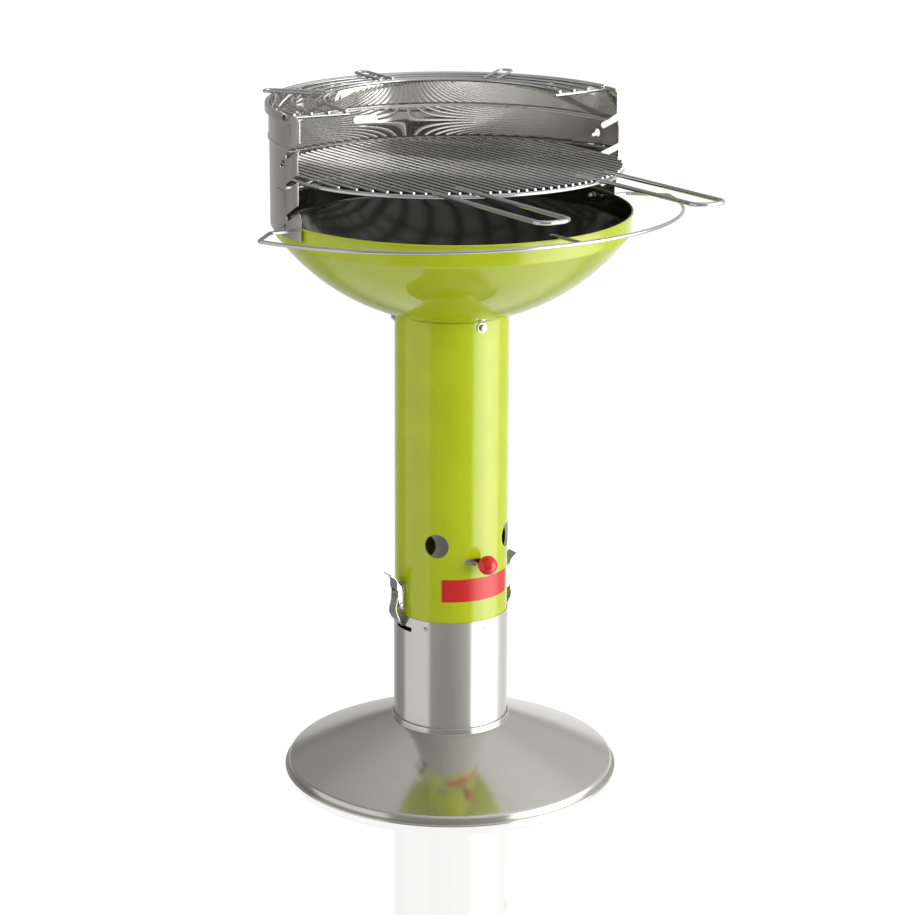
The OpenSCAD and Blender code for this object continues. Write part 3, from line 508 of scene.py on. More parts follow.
def linear(colour: str) -> tuple[float, float, float, float]:
    """Turns an sRGB hex colour into Blender's linear one."""
    parts = [int(colour[i : i + 2], 16) / 255 for i in (1, 3, 5)]
    r, g, b = (c / 12.92 if c <= 0.04045 else ((c + 0.055) / 1.055) ** 2.4 for c in parts)
    return (r, g, b, 1.0)


def add(
    tree: Tree,
    kind: str,
    settings: dict[str, object] | None = None,
    inputs: Inputs | None = None,
    stops: Stops = (),
) -> bpy.types.Node:
    """Adds one node with its settings and links.

    Args:
        tree: The node tree.
        kind: The node's type.
        settings: Its properties.
        inputs: Its inputs by name or number; a socket is linked, a value is set.
        stops: A colour ramp's places and greys or hex colours.

    Returns:
        The node.
    """
    node = tree.nodes.new(kind)
    for key, value in (settings or {}).items():
        setattr(node, key, value)
    for key, value in (inputs or {}).items():
        if isinstance(value, Socket):
            tree.links.new(value, node.inputs[key])
        else:
            node.inputs[key].default_value = value
    if stops:
        ramp = node.color_ramp
        while len(ramp.elements) < len(stops):
            ramp.elements.new(0.5)
        for mark, (spot, value) in zip(ramp.elements, stops):
            mark.position = spot
            mark.color = linear(value) if isinstance(value, str) else (value, value, value, 1.0)
    return node


def maths(tree: Tree, operation: str, *values: Socket | float) -> Socket:
    """The result of one operation on sockets and numbers."""
    inputs = dict(enumerate(values))
    return add(tree, "ShaderNodeMath", {"operation": operation}, inputs).outputs[0]


def noise(tree: Tree, place: Socket, size_mm: float, detail: float, along: bool = False) -> Socket:
    """Noise with spots of about a size, or with bands of it along one measure."""
    inputs: Inputs = {"W" if along else "Vector": place, "Scale": 1 / (size_mm * MM)}
    kind = {"noise_dimensions": "1D" if along else "3D"}
    return add(tree, "ShaderNodeTexNoise", kind, inputs | {"Detail": detail}).outputs[0]


def ramp(tree: Tree, share: Socket, stops: Stops) -> Socket:
    """The colour or grey that stands at a share of the stops."""
    return add(tree, "ShaderNodeValToRGB", None, {"Fac": share}, stops).outputs[0]


def spread(
    tree: Tree, value: Socket, given: Flat, wanted: Flat = (0.0, 1.0), smooth: bool = False
) -> Socket:
    """Maps a value from a given range to a wanted one, and keeps it inside."""
    inputs: Inputs = {"Value": value, "From Min": given[0], "From Max": given[1]}
    inputs |= {"To Min": wanted[0], "To Max": wanted[1]}
    kind = {"interpolation_type": "SMOOTHSTEP" if smooth else "LINEAR"}
    return add(tree, "ShaderNodeMapRange", kind, inputs).outputs[0]


def relief(tree: Tree, height: Socket, depth_mm: float) -> Socket:
    """The surface direction over fine relief."""
    inputs: Inputs = {"Strength": 1.0, "Distance": depth_mm * MM, "Height": height}
    return add(tree, "ShaderNodeBump", None, inputs).outputs[0]


def blend(tree: Tree, share: Socket | float, first: Socket, second: Socket) -> bpy.types.Node:
    """Mixes two shaders."""
    return add(tree, "ShaderNodeMixShader", None, {0: share, 1: first, 2: second})


@dataclass(frozen=True)
class Finish:
    """What all finishes share: a name, and one material that is made once."""

    name: str

    def material(self) -> bpy.types.Material:
        """The finish's material, made when it is first asked for."""
        found = bpy.data.materials.get(self.name)
        if found is None:
            found = bpy.data.materials.new(self.name)
            found.use_nodes = True
            tree = found.node_tree
            tree.nodes.clear()
            place = add(tree, "ShaderNodeTexCoord").outputs["Object"]
            surface = self.surface(tree, place)
            add(tree, "ShaderNodeOutputMaterial", None, {"Surface": surface.outputs[0]})
        return found

    def surface(self, tree: Tree, place: Socket) -> bpy.types.Node:
        """Builds the finish's shader in a node tree, from the place on the object."""
        raise NotImplementedError


class Grain(Enum):
    """Which way the marks of a metal finish run."""

    SPUN = "rings about the column's axis"
    ROUND = "lines round the wall at one height"
    EVEN = "no direction"


@dataclass(frozen=True)
class Steel(Finish):
    """Stainless or plated steel: a mirror that its finish blurs along fine marks."""

    colour: str
    roughness: float
    unevenness: float
    grain: Grain
    mark_mm: float
    relief_mm: float
    drawn: float = 0.0
    haze: float = 0.0
    haze_roughness: float = 0.6
    cloud_mm: float = 60.0

    def marks(self, tree: Tree, place: Socket) -> Socket:
        """The fine marks that the finish leaves."""
        if self.grain is Grain.EVEN:
            return noise(tree, place, self.mark_mm, 3.0)
        parts = add(tree, "ShaderNodeSeparateXYZ", None, {0: place}).outputs
        if self.grain is Grain.ROUND:
            return noise(tree, parts[2], self.mark_mm, 4.0, True)
        flat = add(tree, "ShaderNodeCombineXYZ", None, {0: parts[0], 1: parts[1]}).outputs[0]
        away = add(tree, "ShaderNodeVectorMath", {"operation": "LENGTH"}, {0: flat})
        return noise(tree, away.outputs["Value"], self.mark_mm, 4.0, True)

    def surface(self, tree: Tree, place: Socket) -> bpy.types.Node:
        """Builds the metal's shader, a mirror under a thin dull haze."""
        marks = self.marks(tree, place)
        both = maths(tree, "ADD", marks, noise(tree, place, self.cloud_mm, 3.0))
        least = max(0.01, self.roughness - self.unevenness)
        rough = spread(tree, both, (0.6, 1.4), (least, self.roughness + self.unevenness))
        inputs: Inputs = {"Base Color": linear(self.colour), "Metallic": 1.0, "Roughness": rough}
        inputs["Normal"] = relief(tree, marks, self.relief_mm)
        if self.drawn:
            tangent = add(tree, "ShaderNodeTangent", {"direction_type": "RADIAL", "axis": "Z"})
            inputs |= {"Anisotropic": self.drawn, "Tangent": tangent.outputs[0]}
        mirror = add(tree, "ShaderNodeBsdfPrincipled", None, inputs)
        if not self.haze:
            return mirror
        inputs["Roughness"] = self.haze_roughness
        veil = add(tree, "ShaderNodeBsdfPrincipled", None, inputs)
        return blend(tree, self.haze, mirror.outputs[0], veil.outputs[0])


@dataclass(frozen=True)
class Enamel(Finish):
    """Vitreous enamel, sprayed and fired: a body colour under clear hard glass."""

    colour: str
    deep: str
    roughness: float
    cloud_mm: float = 45.0
    peel_mm: float = 5.0
    relief_mm: float = 0.006
    ior: float = 1.52

    def surface(self, tree: Tree, place: Socket) -> bpy.types.Node:
        """Builds the enamel's shader, with a faint orange peel."""
        clouds = noise(tree, place, self.cloud_mm, 3.0)
        inputs: Inputs = {"Base Color": ramp(tree, clouds, [(0.3, self.deep), (0.7, self.colour)])}
        inputs |= {"Roughness": self.roughness, "IOR": self.ior}
        inputs["Normal"] = relief(tree, noise(tree, place, self.peel_mm, 1.0), self.relief_mm)
        return add(tree, "ShaderNodeBsdfPrincipled", None, inputs)


@dataclass(frozen=True)
class Moulded(Finish):
    """Thermoset plastic or baked paint, glossy from its mould or its flow."""

    colour: str
    roughness: float
    grit_mm: float = 1.2
    relief_mm: float = 0.004
    ior: float = 1.54

    def surface(self, tree: Tree, place: Socket) -> bpy.types.Node:
        """Builds the shader, whose gloss changes a little from place to place."""
        grit = noise(tree, place, self.grit_mm, 3.0)
        rough = spread(tree, grit, (0.0, 1.0), (self.roughness * 0.7, self.roughness * 1.3))
        inputs: Inputs = {"Base Color": linear(self.colour), "Roughness": rough, "IOR": self.ior}
        inputs["Normal"] = relief(tree, grit, self.relief_mm)
        return add(tree, "ShaderNodeBsdfPrincipled", None, inputs)


# Spun 18/8 stainless, brushed on the lathe: mirrors what is over it in a blur, with faint rings
SPUN_STAINLESS = Steel(
    "spun stainless steel", "#C9C7C1", 0.12, 0.02, Grain.SPUN, 0.8, 0.002, drawn=0.4, haze=0.18)
# Drawn stainless pot, polished round its wall: crisp upright bands of the room
DRAWN_STAINLESS = Steel(
    "drawn stainless steel", "#CDCBC5", 0.12, 0.02, Grain.ROUND, 0.7, 0.002, drawn=0.2, haze=0.38)
# The windshield's outer face, fine satin from the mill: even grey, no clear mirror image
SATIN_STAINLESS = Steel("satin stainless sheet", "#C4C3BE", 0.34, 0.03, Grain.ROUND, 0.5, 0.003)
# Its inner face, buffed: mirrors the wires in long curved lines
BUFFED_STAINLESS = Steel(
    "buffed stainless sheet", "#D2D1CC", 0.03, 0.01, Grain.ROUND, 0.9, 0.00005, haze=0.14)
# Wire with bright nickel and chrome plate: black and white lines along each wire
CHROME_PLATE = Steel(
    "chrome plated wire", "#BEBEBE", 0.13, 0.03, Grain.EVEN, 1.5, 0.001, haze=0.12)
# Pressed latch parts, barrel polished: soft bright edges
TUMBLED_STEEL = Steel("tumbled stainless pressings", "#C6C5C0", 0.2, 0.05, Grain.EVEN, 1.0, 0.004)
# Turned screws and nuts with a bright zinc coat: plain silver grey heads
ZINC_PLATE = Steel("zinc plated screws", "#A9A9A5", 0.26, 0.06, Grain.EVEN, 0.8, 0.004)
# The air ring, plain rolled steel: dull, and a darker grey than the other steels
ROLLED_STEEL = Steel("rolled steel strip", "#8E8D8C", 0.36, 0.06, Grain.ROUND, 0.7, 0.004)
# Charcoal grate, blackened by its oil finish: dark and dull at the bottom of the bowl
BLACKENED_STEEL = Steel("oil blackened steel", "#3A3936", 0.45, 0.08, Grain.EVEN, 1.2, 0.01)
# Knob stem, black oxide: a dark satin pin under the ball
BLACK_OXIDE = Steel("black oxide stem", "#35342F", 0.35, 0.06, Grain.EVEN, 0.8, 0.004)
# Spring-green vitreous enamel: strong body colour under a clear mirror-like glaze
LIME_ENAMEL = Enamel("lime vitreous enamel", "#AAB714", "#A3B010", 0.05)
# The bowl's inside, ground-coat enamel: near black and just as glossy
GROUND_ENAMEL = Enamel("black ground enamel", "#22221F", "#1A1A17", 0.1)
# Ball knob of red phenolic, polished: one small sharp highlight
RED_PHENOLIC = Moulded("red phenolic knob", "#C8161A", 0.08)
# Name plate of aluminium strip with baked red enamel paint: a calm even red
RED_STOVING = Moulded("red stoving enamel plate", "#BC100E", 0.3, 2.0)


# ---------------------------------------------------------------- sub-assemblies


@dataclass(frozen=True)
class FootAndPot:
    """The spun foot and the ash pot that stands in it."""

    t: float = 0.8
    lip_r: float = 243.0
    lip_h: float = 3.6
    edge_r: float = 237.6
    edge_h: float = 12.5
    crown: float = 2.5
    cone_h: float = 74.5
    neck_r: float = 84.8
    neck_top: float = 83.5
    floor_z: float = 76.5
    pot_r: float = 82.5
    pot_top: float = 244.5
    pot_lift: float = 0.45
    pot_turn: float = 4.0
    pip_z: float = 233.0
    pip_r: float = 3.0
    slot_half: float = 18.0
    slot_low: float = 223.2
    slot_high: float = 230.0

    def build(self) -> None:
        """Builds and dresses the foot and the pot."""
        self.foot()
        self.pot()

    def foot(self) -> None:
        """Spins the foot: lip, upright edge, crowned cone, double neck and disc."""
        start = np.array((self.edge_r, self.edge_h))
        run = np.array((self.neck_r, self.cone_h)) - start
        out = np.array((run[1], -run[0])) / np.linalg.norm(run)
        shares = np.linspace(0.0, 1.0, 16)
        cone = [tuple(start + s * run + 4 * s * (1 - s) * self.crown * out) for s in shares]
        inner = self.neck_r - 2 * self.t
        crest = arc((self.neck_r - self.t, self.neck_top - 1.2), self.t, 0, 180, 8)
        path = [(self.edge_r, 0.0), *cone, *crest, (inner, self.floor_z), (0.0, self.floor_z)]
        radii = [0.0, 6.0] + [0.0] * 14 + [1.2] + [0.0] * len(crest) + [0.6, 0.0]
        shape = Shape().turned(sheet(rounded(path, radii, steps=12), self.t), steps=256)
        lip = slab(self.edge_r - 0.3, self.lip_r, 0.0, self.lip_h, [0.1, 1.2, 1.7, 0.1], 6)
        shape.turned(lip, steps=256)
        piece(shape, "foot_spun", Body.STAND, "foot_steel", [SPUN_STAINLESS], ["foot"])

    def pot(self) -> None:
        """Draws the pot, presses its pips in and cuts the latch hooks' slots."""
        wall, low = self.pot_r - self.t / 2, self.floor_z + self.pot_lift + self.t / 2
        path = rounded([(0.0, low), (wall, low), (wall, self.pot_top)], [0.0, 4.0, 0.0], steps=12)
        shape = Shape().turned(sheet(path, self.t), steps=224)
        tools, pips = Shape(), Shape()
        # The pressed metal fills a pip's lower part, so that its shadow is a half-moon
        metal = [(0.0, -1.2), (2.25, -1.2), (2.25, -0.1), (1.9, 0.2), (1.1, 0.4), (0.0, 0.45)]
        sunk = 0.3 * self.pip_r
        for i in range(6):
            bearing = self.pot_turn + 60 * i
            hole = arc((0.0, 0.0), self.pip_r, -90, 90, 14)
            tools.turned(hole, facing(bearing, self.pip_z, wall), steps=28)
            pips.turned(metal, facing(bearing, self.pip_z - sunk, wall), steps=28)
        slot = slab(-self.slot_half, self.slot_half, self.slot_low, self.slot_high, 1.2)
        for side in (-90, 90):
            tools.plate(slot, 70.0, 90.0, facing(side + self.pot_turn))
        look = (Body.STAND, "pot_steel", [DRAWN_STAINLESS], ["ash_pot"])
        piece(shape, "pot_drawn", *look, tools, field=outwards)
        piece(pips, "pot_pips_pressed", *look)


@dataclass(frozen=True)
class Column:
    """The enamelled column with its air ring, knob and plate."""

    r: float = 81.3
    t: float = 0.8
    bottom: float = 236.0
    top: float = 684.05
    hole_d: float = 34.8
    hole_z: float = 359.0
    slot_z: float = 335.0
    swing: float = 13.4
    ring_gap: float = 0.05
    ring_h: float = 66.0
    ball_r: float = 13.8
    seat_r: float = 5.2
    reach: float = 22.0
    stem_r: float = 4.1
    plate_z: float = 293.0
    plate_w: float = 115.0
    plate_h: float = 33.5
    plate_turn: float = 1.1
    plate_corner: float = 2.2

    def build(self) -> None:
        """Builds and dresses the tube, the ring inside it, the knob and the plate."""
        self.tube()
        self.ring()
        self.knob()
        self.name_plate()

    def tube(self) -> None:
        """Rolls the tube and cuts its air holes and the knob's slot."""
        edges = [0.2, 0.35, 0.35, 0.2]
        wall = slab(self.r - self.t, self.r, self.bottom, self.top, edges, 3)
        tools = self.air_holes(45.0)
        half = self.stem_r + 0.3
        a = math.degrees(half / self.r)
        ends = arc((self.swing, 0.0), a, -90, 90, 12) + arc((-self.swing, 0.0), a, 90, 270, 12)
        slot = self.finely(ends)
        rings = [[polar(u, b, self.slot_z + z / a * half) for b, z in slot] for u in (70.0, 90.0)]
        tools.skin(rings)
        look = (Body.STAND, "lime_enamel", [LIME_ENAMEL], ["column"])
        piece(Shape().turned(wall, steps=224), "column_tube", *look, tools, field=outwards)

    def finely(self, outline: Sequence[Flat]) -> list[Flat]:
        """An outline with points between its far ones, so that it follows the tube."""
        found: list[Flat] = []
        for p, q in zip(outline, list(outline[1:]) + [outline[0]]):
            n = max(1, math.ceil(math.dist(p, q) / 1.5))
            step = ((q[0] - p[0]) / n, (q[1] - p[1]) / n)
            found += [(p[0] + step[0] * i, p[1] + step[1] * i) for i in range(n)]
        return found

    def air_holes(self, bearing: float) -> Shape:
        """Four drills that make the air holes, the first one at a bearing."""
        drills, bit = Shape(), slab(0.0, self.hole_d / 2, 60.0, 95.0)
        for i in range(4):
            drills.turned(bit, facing(bearing + 90 * i, self.hole_z), steps=72)
        return drills

    def ring(self) -> None:
        """Builds the air ring, whose holes stand a knob's swing from the column's."""
        outer, low = self.r - self.t - self.ring_gap, self.slot_z - self.stem_r - 6.0
        shape = Shape().turned(slab(outer - self.t, outer, low, low + self.ring_h), steps=192)
        look = (Body.DAMPER, "ring_steel", [ROLLED_STEEL], ["air_ring"])
        piece(shape, "air_ring_sleeve", *look, self.air_holes(45.0 - self.swing), field=outwards)

    def knob(self) -> None:
        """Turns the ball knob with its flat seat, and the stem it is screwed on."""
        seat = -math.sqrt(self.ball_r**2 - self.seat_r**2)
        start = math.degrees(math.asin(seat / self.ball_r))
        ball = [(0.0, seat), (4.0, seat), *arc((0.0, 0.0), self.ball_r, start, 90, 40)]
        shape = Shape().turned(ball, facing(0.0, self.slot_z, self.r + self.reach), steps=96)
        look = (Body.DAMPER, "red_plastic", [RED_PHENOLIC], ["air_knob"])
        piece(shape, "ball_knob", *look, crease=50)
        # Head inside the ring, neck through it and the slot, spacer up to the ball
        r, neck = self.stem_r, 1.9
        stem = [(0.0, -4.2), (r, -4.2), (r, -1.7), (neck, -1.7)]
        stem += [(neck, -0.8), (r, -0.8), (r, 10.5), (0.0, 10.5)]
        at = facing(0.0, self.slot_z, self.r)
        shape = Shape().turned(rounded(stem, 0.2, True, 2), at, steps=48)
        piece(shape, "knob_stem", Body.DAMPER, "stem_steel", [BLACK_OXIDE], ["air_knob_stem"])

    def name_plate(self) -> None:
        """Rolls the bare name plate round the column, with round corners."""
        low, high = self.plate_z - self.plate_h / 2, self.plate_z + self.plate_h / 2
        outline = slab(self.r + 0.05, self.r + 0.65, low, high, [0.05, 0.25, 0.25, 0.05], 3)
        half = math.degrees(self.plate_w / self.r / 2)
        sweep = (self.plate_turn - half, self.plate_turn + half)
        shape = Shape().turned(outline, sweep=sweep, steps=84)
        bend, tools = self.plate_corner, Shape()
        corner = [(0.5, -0.5), (-bend, -0.5), *arc((-bend, bend), bend, -90, 0, 6), (0.5, bend)]
        for side in (-1, 1):
            for z, turn in ((low, 1), (high, -1)):
                at = facing(self.plate_turn + side * half, z)
                tools.plate([(side * x, turn * y) for x, y in corner], 75.0, 90.0, at)
        look = (Body.STAND, "plate_red", [RED_STOVING], ["badge_plate"])
        piece(shape, "name_plate", *look, tools, field=outwards)


@dataclass(frozen=True)
class Latch:
    """One over-centre latch: base with ears, lever, hook, pivot and pin."""

    side: Side
    t: float = 1.2
    pivot_u: float = 88.1
    pivot_z: float = 262.5
    pin_u: float = 90.7
    pin_z: float = 276.5
    pin_r: float = 1.5
    ear: float = 8.8
    ear_r: float = 4.2
    cheek: float = 9.4
    face_u: float = 94.45
    base_r: float = 81.35
    tongue: float = 33.4

    @property
    def end(self) -> str:
        """Which of the two latches this is."""
        return self.side.name.lower()

    @property
    def at(self) -> Matrix:
        """The frame of the latch's side of the column."""
        return facing(90.0 * self.side.value)

    def build(self) -> None:
        """Builds and dresses the latch on its side of the column."""
        self.base()
        self.lever(Body[f"LEVER_{self.side.name}"])
        self.hook(Body[f"HOOK_{self.side.name}"])

    def made(
        self, shape: Shape, name: str, node: str, body: Body, finish: Finish, soften: float = 0.0
    ) -> None:
        """Makes one piece of the latch for a CAD node."""
        piece(shape, name, body, "latch_steel", [finish], [node], soften=soften)

    def rod(self, shape: Shape, u: float, z: float, outline: Sequence[Flat]) -> None:
        """Adds a round part whose axis runs across the latch at (u, z)."""
        across = Matrix(((0.0, 0.0, 1.0), (0.0, 1.0, 0.0), (-1.0, 0.0, 0.0))).to_4x4()
        shape.turned(outline, facing(90.0 * self.side.value, z, u) @ across, steps=40)

    def base(self) -> None:
        """The curved base with two ears, its rivets and the pivot."""
        low, high, r = self.pivot_z - 12.5, self.pivot_z + 28.5, self.base_r
        half = math.degrees(math.asin(self.ear / r))
        middle = 90.0 * self.side.value
        sweep = (middle - half, middle + half)
        shape = Shape().turned(slab(r, r + self.t, low, high), sweep=sweep, steps=16)
        bend = arc((self.pivot_u, self.pivot_z), self.ear_r, -60, 90, 14)
        side = [(r, high - 3), (r, low), *bend, (r + 3, high - 3)]
        for v in (-self.ear, self.ear - self.t):
            shape.plate(side, v, v + self.t, self.at, True)
        node = f"latch_base_{self.end}"
        self.made(shape, f"{node}_pressed", node, Body.STAND, TUMBLED_STEEL, 0.25)
        out, pivot = self.cheek + self.t, Shape()
        head = [(0.0, 1.65), (2.7, 1.6), (3.7, 0.5), (3.7, 0.05), (2.5, 0.05)]
        pin = [(q, -out - h) for q, h in head] + [(q, out + h) for q, h in reversed(head)]
        self.rod(pivot, self.pivot_u, self.pivot_z, pin)
        node = f"latch_pivot_{self.end}"
        self.made(pivot, f"{node}_rivet", node, Body.STAND, ZINC_PLATE, 0.15)
        head = ((2.0, 0.05), (3.3, 0.05), (3.1, 0.7), (2.0, 1.15), (0.0, 1.2))
        rivet = [(0.0, 79.35), (3.2, 79.35), (3.2, 79.9), (2.0, 79.95)]
        rivet += [(q, r + self.t + h) for q, h in head]
        rivets = Shape()
        for z in (self.pivot_z + 23.5, self.pivot_z + 13.5):
            rivets.turned(rivet, facing(middle, z), steps=32)
        self.made(rivets, f"latch_rivets_{self.end}", "latch_rivets", Body.STAND, ZINC_PLATE)

    def lever(self, body: Body) -> None:
        """The lever's flared face plate and its cheeks, with the hook's pin."""
        u, z, out = self.face_u, self.pin_z, self.cheek + self.t
        face = [(u, z + 9), (u, z + 22), (u + 3.5, z + 27), (u + 11, z + 32.5)]
        face = sheet(rounded(face, [0, 9, 9, 0], steps=6), self.t)
        shape = Shape().plate(face, -out, out, self.at, True)
        side = arc((self.pivot_u, self.pivot_z), self.ear_r, 120, 320, 14)
        side += [(self.pin_u + 2.4, z - 4), (self.pin_u + 2.4, z + 4)]
        side += [(u, z + 10), (u, z + 21), (self.pivot_u - 1, z + 13)]
        for v in (-out, self.cheek):
            shape.plate(side, v, v + self.t, self.at, True)
        node = f"latch_lever_{self.end}"
        self.made(shape, f"{node}_pressed", node, body, TUMBLED_STEEL, 0.3)
        pin = Shape()
        self.rod(pin, self.pin_u, z, slab(0.0, self.pin_r, -out - 0.3, out + 0.3, 0.3, 2))
        self.made(pin, f"latch_pin_{self.end}", f"latch_hook_pin_{self.end}", body, ZINC_PLATE)

    def hook(self, body: Body) -> None:
        """The hook: an eye on the pin, a bowed strap that widens and a tongue."""
        z, tip = self.pin_z, self.pivot_z - self.tongue
        strap = [(93.75, z - 1.5), (93.75, z - 8), (94.95, z - 14), (96.55, z - 21)]
        strap += [(95.75, z - 28), (91.75, z - 37), (85.0, tip + 1.5), (83.4, tip), (79.0, tip)]
        path = rounded(strap, [0, 12, 20, 14, 14, 14, 3, 2, 0], steps=5)
        heights = [tip - 2, tip + 1, tip + 4, z - 30, z - 18, z + 5]
        widths = [8.5, 8.5, 12.5, 12.5, 8.8, 8.8]
        rings = []
        for p, q, c in zip(beside(path, self.t / 2), beside(path, -self.t / 2), path):
            half = float(np.interp(c[1], heights, widths)) if c[0] > 83.6 else widths[0]
            rings.append([(-half, *p[::-1]), (half, *p[::-1]), (half, *q[::-1]), (-half, *q[::-1])])
        shape = Shape().skin(rings, self.at)
        self.rod(shape, self.pin_u, z, slab(1.55, 2.75, -self.ear, self.ear))
        node = f"latch_hook_{self.end}"
        self.made(shape, f"{node}_pressed", node, body, TUMBLED_STEEL, 0.25)


@dataclass(frozen=True)
class Bowl:
    """The enamelled bowl, the screws that hold it and the charcoal grate."""

    t: float = 1.2
    dish_r: float = 305.9
    dish_z: float = 980.17
    slope: float = 50.0
    neck_r: float = 79.6
    neck_low: float = 662.05
    band_r: float = 249.4
    band_low: float = 801.5
    rim_z: float = 831.5
    roll_r: float = 1.25
    screw_z: float = 675.95
    screw_r: float = 81.3

    def build(self) -> None:
        """Builds and dresses the bowl, its screws and what is hidden in it."""
        self.dish()
        self.screws()
        dress("charcoal_grate", BLACKENED_STEEL)
        for node in ("bowl_nuts", "pot_bolts", "pot_nuts"):
            dress(node, ZINC_PLATE)

    def dish(self) -> None:
        """Spins the bowl: neck, dish, sloped wall, upright band and rolled rim."""
        start = math.degrees(math.asin(self.neck_r / self.dish_r)) - 90
        dish = arc((0.0, self.dish_z), self.dish_r, start, self.slope - 90, 36)
        top = self.rim_z - self.roll_r - self.t / 2
        band = [dish[-1], (self.band_r, self.band_low), (self.band_r, top)]
        roll = arc((self.band_r + self.roll_r, top), self.roll_r, 150, -30, 12)
        path = [(self.neck_r, self.neck_low), *dish, *rounded(band, [0, 8, 0], steps=14)[1:], *roll]
        # The inner face comes first; the ground coat ends where the rim rolls outwards
        n, lime = len(path), len(roll) - 5
        kinds = [1] * (n - lime) + [0] * (n + lime)
        shape = Shape().turned(sheet(path, self.t), steps=288, kinds=kinds)
        coats = [LIME_ENAMEL, GROUND_ENAMEL]
        piece(shape, "bowl_enamelled", Body.STAND, "lime_enamel", coats, ["bowl"])

    def screws(self) -> None:
        """Turns the three screws with their ring washers."""
        heads, washers = Shape(), Shape()
        head = [(5.5, 0.0), (5.3, 1.9), (2.6, 3.3), (0.0, 3.4)]
        turned = screw(-7.0, 1.5, head, [0, 0.3, 1.6, 3.0, 0])
        washer = slab(3.1, 7.5, 0.05, 1.45, [0.1, 0.2, 0.6, 0.3], 4)
        for i in range(3):
            at = facing(120.0 * i, self.screw_z, self.screw_r)
            heads.turned(turned, at, steps=48)
            washers.turned(washer, at, steps=56)
        fastener(heads, "bowl_screws_turned", "bowl_screws", ZINC_PLATE)
        fastener(washers, "bowl_washers_pressed", "bowl_washers", CHROME_PLATE)


@dataclass(frozen=True)
class Tab:
    """A tab lanced in the windshield: bearing and height of its middle, and its size."""

    bearing: float
    z: float
    w: float
    h: float


